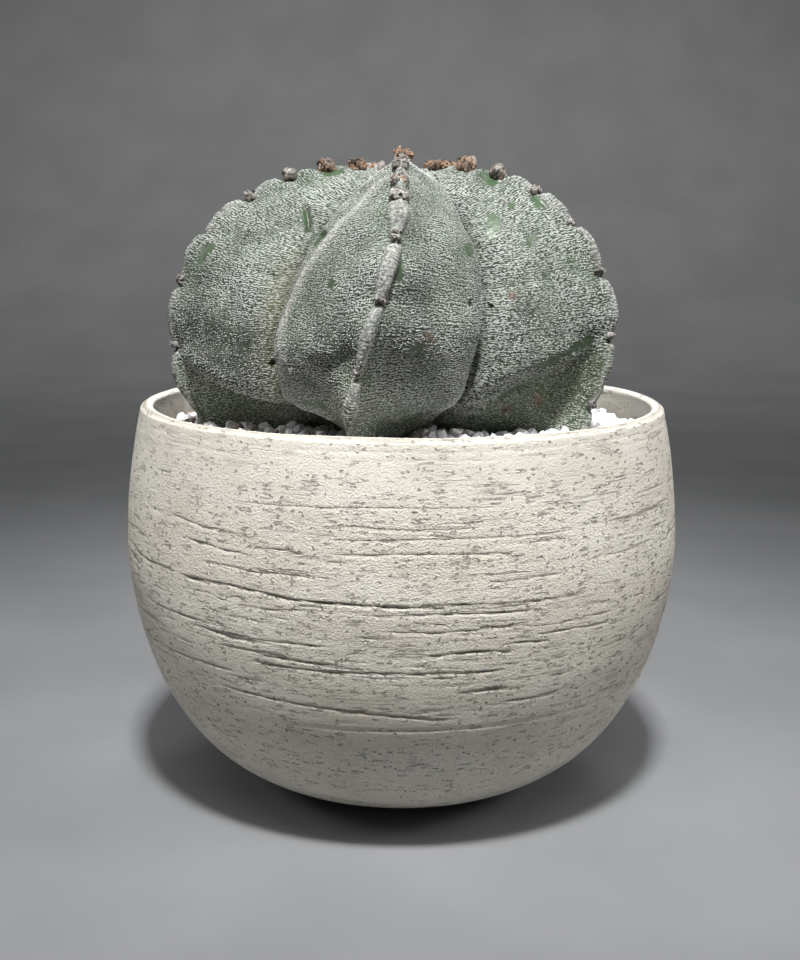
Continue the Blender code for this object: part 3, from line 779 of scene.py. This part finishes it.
smooth_green = layered(
    (0.034, 0.054, 0.030), (spread(blotch, 0.3, 0.7), (0.066, 0.096, 0.056)),
    (times(fresh, spread(fine, 0.35, 0.65, 0.6, 1.0)), (0.060, 0.118, 0.055)))
ridge_tone = tint(spread(fine, 0.40, 0.62), (0.28, 0.27, 0.25), (0.55, 0.55, 0.52))
cord_wear = spread(grain(330, 3, 0.6), 0.36, 0.58, 0.30, 0.92)
skin_tone = layered(
    green,
    (times(dust, 0.90), (0.43, 0.455, 0.43)),
    (times(read("yellowed"), 0.40), (0.27, 0.26, 0.13)),
    (bare_here, smooth_green),
    # paler along the ridge beside the left valley: painted highlight where it catches the light
    (times(read("ridge"), 0.70), ridge_tone),
    (times(read("cord"), cord_wear),
     mottled(1100, 0.38, 0.62, (0.17, 0.168, 0.155), (0.46, 0.465, 0.45))),
    (read("cork"), mottled(1300, 0.38, 0.62, (0.045, 0.025, 0.018), (0.22, 0.16, 0.12))),
    # splits and pits darker: painted shade in them
    (read("split"), (0.022, 0.035, 0.012)),
    # darker in the notches under the areoles: painted shade in them
    (spread(read("notch"), 0.25, 0.75, 0.0, 0.92), (0.022, 0.018, 0.013)))
relief = raised(times(dust, spread(bare_here, 0, 1, 1, 0)), 0.00014)
relief = raised(times(fine, spread(bare_here, 0, 1, 1, 0.15)), 0.00016, relief)
coat(skin_tone, raised(grain(520, 3, 0.6), 0.00030, relief))
tree.links.new(spread(bare_here, 0.3, 0.9, 0.78, 0.38), shader.inputs["Roughness"])

cactus = placed("cactus_body", body_mesh, skin_finish)
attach(cactus, "root")
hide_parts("cactus")


# ---- Flecks --------------------------------------------------------------------------------
# Tiny scales of white felt all over the skin, in short wavy dashes that run round the plant.
# They have rubbed off in patches and stand thinner on the low keels.

fleck_length, fleck_width, fleck_height = 0.00055, 0.00028, 0.00014
fleck_root, fleck_spacing, fleck_wobble = 0.00005, 0.00027, 0.25
densest = 14e6  # flecks tried on a square metre
buried_from = 7.9  # areole at the gravel

fleck_finish = finish("white_felt", 0.95)
felt = layered(
    (0.48, 0.505, 0.485),
    (spread(grain(240, 3), 0.35, 0.68), (0.71, 0.74, 0.725)),
    (spread(grain(55, 3), 0.5, 0.75, 0.0, 0.35), (0.57, 0.56, 0.50)))
coat(felt, raised(grain(5200, 1), 0.00006))

half_long, half_wide = fleck_length / 2, fleck_width / 2
fleck_mesh = bpy.data.meshes.new("fleck")
fleck_mesh.from_pydata(
    [(-half_long, 0, -fleck_root), (0, -half_wide, -fleck_root), (half_long, 0, -fleck_root),
     (0, half_wide, -fleck_root), (0, 0, fleck_height)], [],
    [(0, 1, 4), (1, 2, 4), (2, 3, 4), (3, 0, 4)])
fleck_pattern = bpy.data.objects.new("fleck", fleck_mesh)


def growth_tree(name, sizes):
    """Begin a geometry tree; gives its inputs by name and its input node's outputs."""
    global tree
    tree = bpy.data.node_groups.new(name, "GeometryNodeTree")
    sockets = {}
    for size, kind in {"Geometry": "Geometry", **sizes}.items():
        sockets[size] = tree.interface.new_socket(
            size, in_out="INPUT", socket_type="NodeSocket" + kind)
    tree.interface.new_socket("Geometry", in_out="OUTPUT", socket_type="NodeSocketGeometry")
    return sockets, node("NodeGroupInput").outputs


def stored(name, kind="FLOAT"):
    """A value stored on the mesh, in a geometry tree."""
    return node("GeometryNodeInputNamedAttribute", {"Name": name},
                data_type=kind).outputs["Attribute"]


def compared(value, operation, limit):
    """Whether a number is GREATER_THAN or LESS_THAN a limit."""
    return node("FunctionNodeCompare", {0: value, 1: limit}, data_type="FLOAT",
                operation=operation).outputs[0]


def chance(low, high, seed):
    """A random number, or a random vector, for each point."""
    vector = isinstance(low, tuple)
    first = 0 if vector else 2
    return node("FunctionNodeRandomValue", {first: low, first + 1: high, "Seed": seed},
                data_type="FLOAT_VECTOR" if vector else "FLOAT").outputs[0 if vector else 1]


def scattered(mesh, nearest, most_dense, seed, share=1.0):
    """Points strewn over a mesh, no nearer to each other than a distance."""
    return node("GeometryNodeDistributePointsOnFaces", {
        "Mesh": mesh, "Distance Min": nearest, "Density Max": most_dense,
        "Density Factor": share, "Seed": seed}, distribute_method="POISSON").outputs


def noted(points, name, value, kind="FLOAT"):
    """Points with a value stored on each."""
    return node("GeometryNodeStoreNamedAttribute", {
        "Geometry": points, "Name": name, "Value": value},
        data_type=kind, domain="POINT").outputs[0]


def instances(points, pattern, rotation, scale):
    """A pattern's mesh at every point, as real geometry."""
    shape = node("GeometryNodeObjectInfo", {"Object": pattern}).outputs["Geometry"]
    set_out = node("GeometryNodeInstanceOnPoints", {
        "Points": points, "Instance": shape, "Rotation": rotation, "Scale": scale}).outputs[0]
    return node("GeometryNodeRealizeInstances", {"Geometry": set_out}).outputs[0]


def given_out(geometry, material):
    """The tree's end: its geometry with a material."""
    painted = node("GeometryNodeSetMaterial", {"Geometry": geometry, "Material": material})
    node("NodeGroupOutput", {"Geometry": painted.outputs[0]})


fleck_inputs, given = growth_tree(
    "felt_flecks", {"Rib": "Int", "Fleck Spacing": "Float", "Wobble": "Float"})
off_rib = maths("ABSOLUTE", maths("SUBTRACT", stored("rib"), given["Rib"]))
unwanted = node("FunctionNodeBooleanMath", {
    0: compared(off_rib, "GREATER_THAN", 0.45),
    1: compared(stored("down"), "GREATER_THAN", buried_from)}, operation="OR")
one_rib = node("GeometryNodeDeleteGeometry", {
    "Geometry": given["Geometry"], "Selection": unwanted.outputs[0]}, domain="FACE")
cover = spread(stored("pale"), 0.0, 0.85, 0.42, 1.0, way="LINEAR")
worn_off = (("bare", 1.0), ("cork", 0.85), ("cord", 0.35), ("split", 1.0), ("notch", 1.0))
for name, share in worn_off:
    cover = node("ShaderNodeMath", {
        0: cover, 1: maths("MULTIPLY_ADD", stored(name), -share, 1.0)},
        operation="MULTIPLY", use_clamp=True).outputs[0]
strewn = scattered(one_rib.outputs[0], given["Fleck Spacing"], densest, 4, cover)
off_dash = compared(felt_pattern(stored("felt_place", "FLOAT_VECTOR")),
                    "LESS_THAN", felt_edge + 0.08)
on_dashes = node("GeometryNodeDeleteGeometry", {
    "Geometry": noted(strewn["Points"], "stand_way", strewn["Normal"], "FLOAT_VECTOR"),
    "Selection": off_dash}, domain="POINT").outputs[0]
stand = node("FunctionNodeAlignRotationToVector", {
    "Vector": stored("stand_way", "FLOAT_VECTOR")}, axis="Z")
lie = node("FunctionNodeAlignRotationToVector", {
    "Rotation": stand.outputs[0], "Vector": stored("fleck_way", "FLOAT_VECTOR")},
    axis="X", pivot_axis="Z")
drift = node("ShaderNodeTexNoise", {
    "Vector": node("GeometryNodeInputPosition").outputs[0], "Scale": 260.0, "Detail": 1.0})
swing = spread(drift.outputs["Fac"], 0.3, 0.7, -0.30, 0.30, way="LINEAR")
wobble = maths("MULTIPLY_ADD", chance(-1.0, 1.0, 8), given["Wobble"], swing)
turned_fleck = node("FunctionNodeRotateRotation", {
    "Rotation": lie.outputs[0],
    "Rotate By": node("ShaderNodeCombineXYZ", {"Z": wobble}).outputs[0]},
    rotation_space="LOCAL")
fleck_sizes = chance((0.6, 0.75, 0.6), (1.35, 1.25, 1.2), 9)
given_out(instances(on_dashes, fleck_pattern, turned_fleck.outputs[0], fleck_sizes), fleck_finish)


def grown(name, seat, inputs, sizes):
    """The plain mesh that the geometry tree makes on a seat, with its inputs set."""
    carrier = placed(name + "_seat", seat)
    growth = carrier.modifiers.new("growth", "NODES")
    growth.node_group = tree
    for size, value in sizes.items():
        growth[inputs[size].identifier] = value
    carrier.data.update()
    graph = bpy.context.evaluated_depsgraph_get()
    made = bpy.data.meshes.new_from_object(carrier.evaluated_get(graph))
    made.name = name
    carrier.modifiers.clear()
    bpy.data.objects.remove(carrier, do_unlink=True)
    return made


for rib in range(len(ribs)):
    rib_flecks = grown(f"flecks_{rib + 1}", body_mesh.copy(), fleck_inputs, {
        "Rib": rib, "Fleck Spacing": fleck_spacing, "Wobble": fleck_wobble})
    flecks = placed(f"flecks_{rib + 1}", rib_flecks)
    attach(flecks, "root")
    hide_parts("cactus")
bpy.data.objects.remove(fleck_pattern)


# ---- Areoles and crown wool ----------------------------------------------------------------
# Cushions of felt along each crest, rusty and fresh at the crown, grey and flattened lower down,
# with painted shade in their crevices and dark balls of painted shade for their hollows.

crown_cushions = 8
wool_chance = random.Random(21)
wool = bmesh.new()
wool_shade = wool.verts.layers.float.new("shade")
wool_rust = wool.verts.layers.float.new("rust")


def tuft(middle, out, down_crest, width, height, rust, shade, lumps=8, hollows=0):
    """One cushion of felt: lumps of wool pressed together on the crest, each darker where its noise
    dips in, painted shade in its crevices, and its hollows as dark balls of painted shade.
    """
    out = Vector(out).normalized()
    down_crest = Vector(down_crest)
    down_crest = (down_crest - out * down_crest.dot(out)).normalized()
    beside = out.cross(down_crest)
    for number in range(lumps):
        size = width * wool_chance.uniform(0.15, 0.30)
        turn = math.tau * number / lumps + wool_chance.uniform(-0.6, 0.6)
        off = (width * 0.5 - size * 0.8) * (wool_chance.uniform(0.55, 1.05) if number else 0.1)
        centre = (Vector(middle) + beside * off * math.cos(turn)
                  + down_crest * off * 0.75 * math.sin(turn)
                  + out * height * wool_chance.uniform(0.0, 0.50))
        made = bmesh.ops.create_icosphere(wool, subdivisions=3, radius=1.0)["verts"]
        drift = Vector([wool_chance.uniform(-9, 9) for _ in range(3)])
        lump_shade = shade * wool_chance.uniform(0.62, 1.25)
        lump_rust = min(1.0, max(0.0, rust + wool_chance.uniform(-0.4, 0.3)))
        tall = height * wool_chance.uniform(0.40, 0.70)
        for vertex in made:
            way = vertex.co.copy()
            curl, fuzz = noise.noise(way * 1.5 + drift), noise.noise(way * 4.2 + drift)
            grow = 1 + 0.42 * curl + 0.22 * fuzz
            vertex.co = (centre + beside * way.x * size * grow
                         + down_crest * way.y * size * 0.85 * grow + out * way.z * tall * grow)
            # the stored shade is the lump's random tone, lowered where the noise dips in: painted
            # shade in the crevices between lumps
            vertex[wool_shade] = lump_shade * (1 + 1.2 * min(0.0, curl + 0.1)
                                               + 1.1 * min(0.0, fuzz + 0.05))
            vertex[wool_rust] = lump_rust + 0.35 * curl
    for _ in range(hollows):
        turn = wool_chance.uniform(0, math.tau)
        off = width * wool_chance.uniform(0.05, 0.34)
        painted_hollow(Vector(middle) + beside * off * math.cos(turn) + down_crest * off * math.sin(turn)
                  + out * height * wool_chance.uniform(0.45, 0.8),
                  width * wool_chance.uniform(0.07, 0.13))


def painted_hollow(middle, radius):
    """A dark ball in a cushion: painted shade that stands for a hollow."""
    for vertex in bmesh.ops.create_icosphere(wool, subdivisions=2, radius=radius)["verts"]:
        vertex.co = Vector(middle) + vertex.co
        vertex[wool_shade] = 0.02
        vertex[wool_rust] = 0.5


# The front crest's uppermost cushions: areole, width, rust and height
front_wool = [(0.62, 0.0054, 1.05, 0.0028), (1.35, 0.0040, -0.3, 0.0018),
              (2.10, 0.0048, -0.2, 0.0022), (2.85, 0.0046, 0.30, 0.0022),
              (3.30, 0.0056, -0.1, 0.0011)]
for rib in range(len(ribs)):
    cushions = [(number + ribs[rib][4], None, 0, 0) for number in range(areoles_on_rib)]
    if rib == 0:
        cushions = front_wool + cushions[4:]
    for k, width, rust, height in cushions:
        spot, lower = (crest_point(rib, np.array(k + step)) for step in (0, 0.08))
        if spot[2] < lowest_areole:
            continue
        run = Vector(lower - spot).normalized()
        out = Vector((spot[0], spot[1], 0)).normalized()
        out = (out - run * out.dot(run)).normalized()
        if out.z < 0 and k < 4:
            out.negate()
        age = min(max((k - 0.2) / 3.6, 0.0), 1.0)
        if width is None:
            width, rust = 0.0070 - 0.0035 * age - 0.0002 * max(0, k - 4), 0.95 - 1.2 * age
            height = (0.0038 if k > 0.6 else 0.0028) - 0.0020 * age
        tuft(Vector(spot) - out * 0.0009, out, run, width, height, rust, 0.72,
             lumps=10 if k < 3.4 else 5, hollows=5 if k < 3.2 else 2)
for number in range(crown_cushions):
    azimuth = math.tau * number / crown_cushions + wool_chance.uniform(-0.2, 0.2)
    out_from_middle = wool_chance.uniform(0.004, 0.0075) if number else 0.0
    spot = polar(np.array(out_from_middle), azimuth, crest_outline[0][1] - 0.0006)
    tuft(spot, (0, 0, 1), (math.sin(azimuth), -math.cos(azimuth), 0),
         wool_chance.uniform(0.0038, 0.0052), 0.0024, (-0.2, 0.9, 0.4)[number % 3],
         wool_chance.uniform(0.8, 1.0), lumps=6, hollows=1)
# One thick pale cushion stands out beside the middle of the crown
cream_spot = polar(np.array(0.0068), math.radians(-72), 0.1668)
tuft(cream_spot, (0, 0, 1), (1, 0, 0), 0.0042, 0.0030, -0.8, 1.5, lumps=5)
for face in wool.faces:
    face.smooth = True
wool_mesh = bpy.data.meshes.new("areole_wool")
wool.to_mesh(wool_mesh)
wool.free()

wool_finish = finish("areole_felt", 1.0)
fluff = spread(grain(1900, 3, 0.65), 0.50, 0.64)
grey_wool = tint(times(fluff, 0.45), mottled(
    700, 0.35, 0.65, (0.17, 0.155, 0.14), (0.52, 0.495, 0.47)), (0.66, 0.645, 0.62))
rusty = tint(times(fluff, 0.60), mottled(
    1100, 0.36, 0.62, (0.085, 0.048, 0.028), (0.43, 0.26, 0.155)), (0.64, 0.54, 0.46))
# a low stored shade darkens the felt: painted shade in crevices and in the dark balls for hollows,
# over each lump's random tone
wool_tone = layered(
    grey_wool, (spread(read("rust"), 0.15, 0.75), rusty),
    (spread(read("shade"), 0.0, 0.8, 1.0, 0.0), (0.030, 0.020, 0.014)))
coat(wool_tone, raised(grain(900), 0.0006, raised(grain(2600, 3, 0.7), 0.00060)))

areole_wool = placed("areole_wool", wool_mesh, wool_finish)
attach(areole_wool, "root")
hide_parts("cactus")


# ---- Top dressing --------------------------------------------------------------------------
# A layer of loose white quartz gravel, with a few grey-brown grains, raked round the plant.
# A bed fills the space between plant and bowl, and loose stones are strewn over it.

gravel_top, gravel_bottom = 0.1005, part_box("top_dressing")[0].z
gravel_columns, gravel_rows, seat_rows = 240, 26, 12
gravel_sag = 0.0018  # how much lower it lies at the bowl than at the plant
bed_drop = 0.0012  # the bed under the tops of the stones
plant_gap, bowl_gap = 0.0004, 0.0007
# The stones' middles: how far in from the bed's inner and outer edges, and under the gravel's top
seat_from_plant, seat_from_bowl, seat_drop = 0.0010, 0.0022, 0.0013
stone_spacing, stone_radius, knobbliness = 0.0031, 0.00225, 0.0026
most_stones = 400000.0  # stones tried on a square metre
brown_patch = (-0.014, -0.058, 0.100)  # where brown grains have gathered
plant_faces = [tuple(polygon.vertices) for polygon in body_mesh.polygons
               if max(polygon.vertices) < len(flesh)]
plant_tree = BVHTree.FromPolygons([tuple(point) for point in skin.reshape(-1, 3)], plant_faces)


def plant_edge(azimuth, height):
    """Radius of the plant in one direction at one height."""
    way = Vector((math.sin(azimuth), -math.cos(azimuth), 0))
    hit = plant_tree.ray_cast(way * 0.09 + Vector((0, 0, height)), -way)
    return math.hypot(hit[0].x, hit[0].y) if hit[0] else 0.0


lining_up = lining[np.argsort(lining[:, 1])]


def bowl_inside(height):
    """Radius of the bowl's inner face at one height."""
    return float(np.interp(height, lining_up[:, 1], lining_up[:, 0]))


gravel_turn = np.linspace(0, math.tau, gravel_columns, endpoint=False)
inner_edge = np.array([max(plant_edge(a, gravel_top - bed_drop), plant_edge(a, gravel_top))
                       + plant_gap for a in gravel_turn])
outer_edge = bowl_inside(gravel_top) - bowl_gap
out_share = np.linspace(0, 1, gravel_rows)[:, None]
bed_radius = inner_edge[None] + (outer_edge - inner_edge[None]) * out_share
bed = polar(bed_radius, gravel_turn[None], np.full_like(bed_radius, gravel_top - bed_drop))
bed[..., 2] += 0.0006 * noise_at(bed, 330, 14) - gravel_sag * out_share**1.5
inner_low = np.array([plant_edge(a, gravel_bottom + 0.0004) + 0.0006 for a in gravel_turn])
outer_low = bowl_inside(gravel_bottom) - bowl_gap
under_radius = np.stack([np.full(gravel_columns, outer_low),
                         np.minimum(inner_low, outer_low - 0.003)])
bed_under = polar(under_radius, gravel_turn[None],
                  np.full_like(under_radius, gravel_bottom + 0.0001))
bed_mesh = sheet_mesh("gravel", np.concatenate([bed, bed_under, bed[:1]]))
seat_share = np.linspace(0.0, 1.0, seat_rows)[:, None]
seat_width = outer_edge - seat_from_bowl - inner_edge[None] - seat_from_plant
seat_radius = inner_edge[None] + seat_from_plant + seat_width * seat_share
seat = polar(seat_radius, gravel_turn[None], np.broadcast_to(
    gravel_top - seat_drop - gravel_sag * seat_share**1.5, seat_radius.shape))
seat_mesh = sheet_mesh("gravel_seat", seat)
welded(bed_mesh)
welded(seat_mesh, face_up=True)

stone_finish = finish("white_gravel", 0.6)
white_stone = mottled(420, 0.3, 0.7, (0.74, 0.74, 0.75), (0.90, 0.90, 0.91))
brown_stone = mottled(520, 0.3, 0.7, (0.20, 0.155, 0.125), (0.42, 0.35, 0.30))
coat(tint(spread(read("stone"), 0.89, 0.91), white_stone, brown_stone),
     raised(grain(1500, 3, 0.6), 0.00016))
bed_finish = finish("gravel_bed", 0.9)
fill = cells(420)["Distance"]
# pale grains with dark between them: the dark is painted shade in the gaps between the bed's grains
coat(tint(spread(fill, 0.15, 0.5), (0.68, 0.67, 0.66), (0.24, 0.22, 0.20)),
     raised(spread(fill, 0.0, 0.6, 1.0, 0.0), 0.0010))

stone_mesh = bpy.data.meshes.new("stone")
made = bmesh.new()
bmesh.ops.create_cube(made, size=1.2)
bmesh.ops.subdivide_edges(made, edges=made.edges, cuts=1, use_grid_fill=True)
for vertex in made.verts:
    vertex.co = vertex.co.lerp(vertex.co.normalized(), 0.70)  # most of the way to a ball
made.to_mesh(stone_mesh)
made.free()
stone_pattern = bpy.data.objects.new("stone", stone_mesh)

stone_inputs, given = growth_tree("scattered_gravel", {
    "Stone Spacing": "Float", "Stone Radius": "Float", "Knobbliness": "Float",
    "Brown Patch": "Vector"})
strewn = scattered(given["Geometry"], given["Stone Spacing"], most_stones, 3)
tumble = node("FunctionNodeEulerToRotation", {
    0: chance((0, 0, 0), (6.28, 6.28, 6.28), 5)}).outputs[0]
scaled = node("ShaderNodeVectorMath", {
    0: chance((0.75, 0.70, 0.60), (1.25, 1.05, 0.95), 6), "Scale": given["Stone Radius"]},
    operation="SCALE").outputs[0]
lift = node("ShaderNodeCombineXYZ", {"Z": chance(-0.0004, 0.0010, 7)}).outputs[0]
lifted = node("GeometryNodeSetPosition", {"Geometry": strewn["Points"], "Offset": lift})
to_patch = node("ShaderNodeVectorMath", {
    0: node("GeometryNodeInputPosition").outputs[0], 1: given["Brown Patch"]},
    operation="DISTANCE").outputs["Value"]
more_brown = spread(to_patch, 0.004, 0.012, 0.60, 0.0, way="LINEAR")
kinds = noted(lifted.outputs[0], "stone", maths("ADD", chance(0.0, 1.0, 12), more_brown))
loose = instances(kinds, stone_pattern, tumble, scaled)
knobs = node("ShaderNodeTexNoise", {
    "Vector": node("GeometryNodeInputPosition").outputs[0], "Scale": 420.0, "Detail": 1.0})
from_middle = node("ShaderNodeVectorMath", {
    0: knobs.outputs["Color"], 1: (0.5, 0.5, 0.5)}, operation="SUBTRACT").outputs[0]
pushed = node("ShaderNodeVectorMath", {0: from_middle, "Scale": given["Knobbliness"]},
              operation="SCALE").outputs[0]
knobbly = node("GeometryNodeSetPosition", {"Geometry": loose, "Offset": pushed})
given_out(knobbly.outputs[0], stone_finish)

stones = placed("gravel_stones", grown("gravel_stones", seat_mesh, stone_inputs, {
    "Stone Spacing": stone_spacing, "Stone Radius": stone_radius, "Knobbliness": knobbliness,
    "Brown Patch": brown_patch}))
bpy.data.objects.remove(stone_pattern)
gravel_bed = placed("gravel_bed", bed_mesh, bed_finish)
for piece in (stones, gravel_bed):
    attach(piece, "root")
    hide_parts("top_dressing")


# ---- Floor, light and camera ---------------------------------------------------------------
# A plain pale floor that turns up behind into a backdrop.  A small soft lamp and a long strip
# stand above and in front, and weak ones fill the sides and the back.

floor_finish = finish("pale_floor", 0.75)
coat(tint(spread(grain(14, 3), 0.3, 0.7), (0.185, 0.19, 0.198), (0.21, 0.215, 0.223)))
floor_front, floor_side, sweep_back, sweep_radius, sweep_top = -5.0, 6.0, 0.9, 0.5, 2.2
sweep_turn = np.linspace(-math.pi / 2, 0, 17)
sweep = [(floor_front, 0.0)]
sweep += [(sweep_back + sweep_radius * math.cos(a), sweep_radius + sweep_radius * math.sin(a))
          for a in sweep_turn]
sweep += [(sweep_back + sweep_radius, sweep_top)]
floor_grid = np.array([[(x, y, z) for x in (-floor_side, floor_side)] for y, z in sweep])
floor_mesh = sheet_mesh("floor", floor_grid, around=False)
floor_mesh.shade_smooth()
floor = placed("floor", floor_mesh, floor_finish)

# Each lamp: place, target, width and depth in metres, watts, colour and beam in degrees
lamps = {
    "key_light": ((0.01, -0.50, 1.06), (0, -0.02, 0.09), 0.11, 0.11, 0.74, (1.0, 0.99, 0.975), 34),
    "strip_light": ((0.0, -0.50, 1.06), (0, -0.02, 0.09), 1.4, 0.08, 1.12, (1.0, 0.99, 0.98), 75),
    "left_light": ((-0.85, -0.20, 0.66), (0, -0.01, 0.10), 0.3, 0.3, 0.14, (1.0, 0.99, 0.98), 45),
    "right_light": ((0.85, -0.20, 0.60), (0, -0.01, 0.10), 0.3, 0.3, 0.22, (1.0, 0.99, 0.98), 45),
    "back_light": ((0.30, 0.85, 1.05), (0, 0, 0.08), 0.5, 0.3, 0.20, (0.97, 0.98, 1.0), 50),
    "backdrop_light": ((0.0, 0.55, 1.7), (0, 1.4, 0.5), 1.2, 0.5, 6.4, (1.0, 0.99, 0.96), 90),
}
for name, (place, target, width, depth, watts, colour, beam) in lamps.items():
    lamp = bpy.data.lights.new(name, "AREA")
    lamp.shape, lamp.size, lamp.size_y = "RECTANGLE", width, depth
    lamp.energy, lamp.color, lamp.spread = watts, colour, math.radians(beam)
    stand = bpy.data.objects.new(name, lamp)
    stand.location = place
    stand.rotation_euler = (Vector(target) - Vector(place)).to_track_quat("-Z", "Y").to_euler()
    bpy.context.scene.collection.objects.link(stand)
world = bpy.data.worlds.new("studio")
world.use_nodes = True
around = world.node_tree.nodes["Background"].inputs
around["Color"].default_value, around["Strength"].default_value = (0.94, 0.95, 0.94, 1.0), 0.085
bpy.context.scene.world = world

lens = bpy.data.cameras.new("camera")
lens.lens, lens.sensor_width, lens.sensor_fit = 52.17, 36.0, "AUTO"
lens.clip_start, lens.clip_end = 0.01, 20.0
camera = bpy.data.objects.new("camera", lens)
camera.location = (-0.00046, -0.3788, 0.1558)
camera.rotation_euler = (math.radians(90 - 10.77), 0.0, 0.0)
camera.rotation_euler.rotate_axis("Z", 0.0055)  # a slight roll
bpy.context.scene.collection.objects.link(camera)
bpy.context.scene.camera = camera
bpy.context.scene.view_settings.view_transform = "Standard"
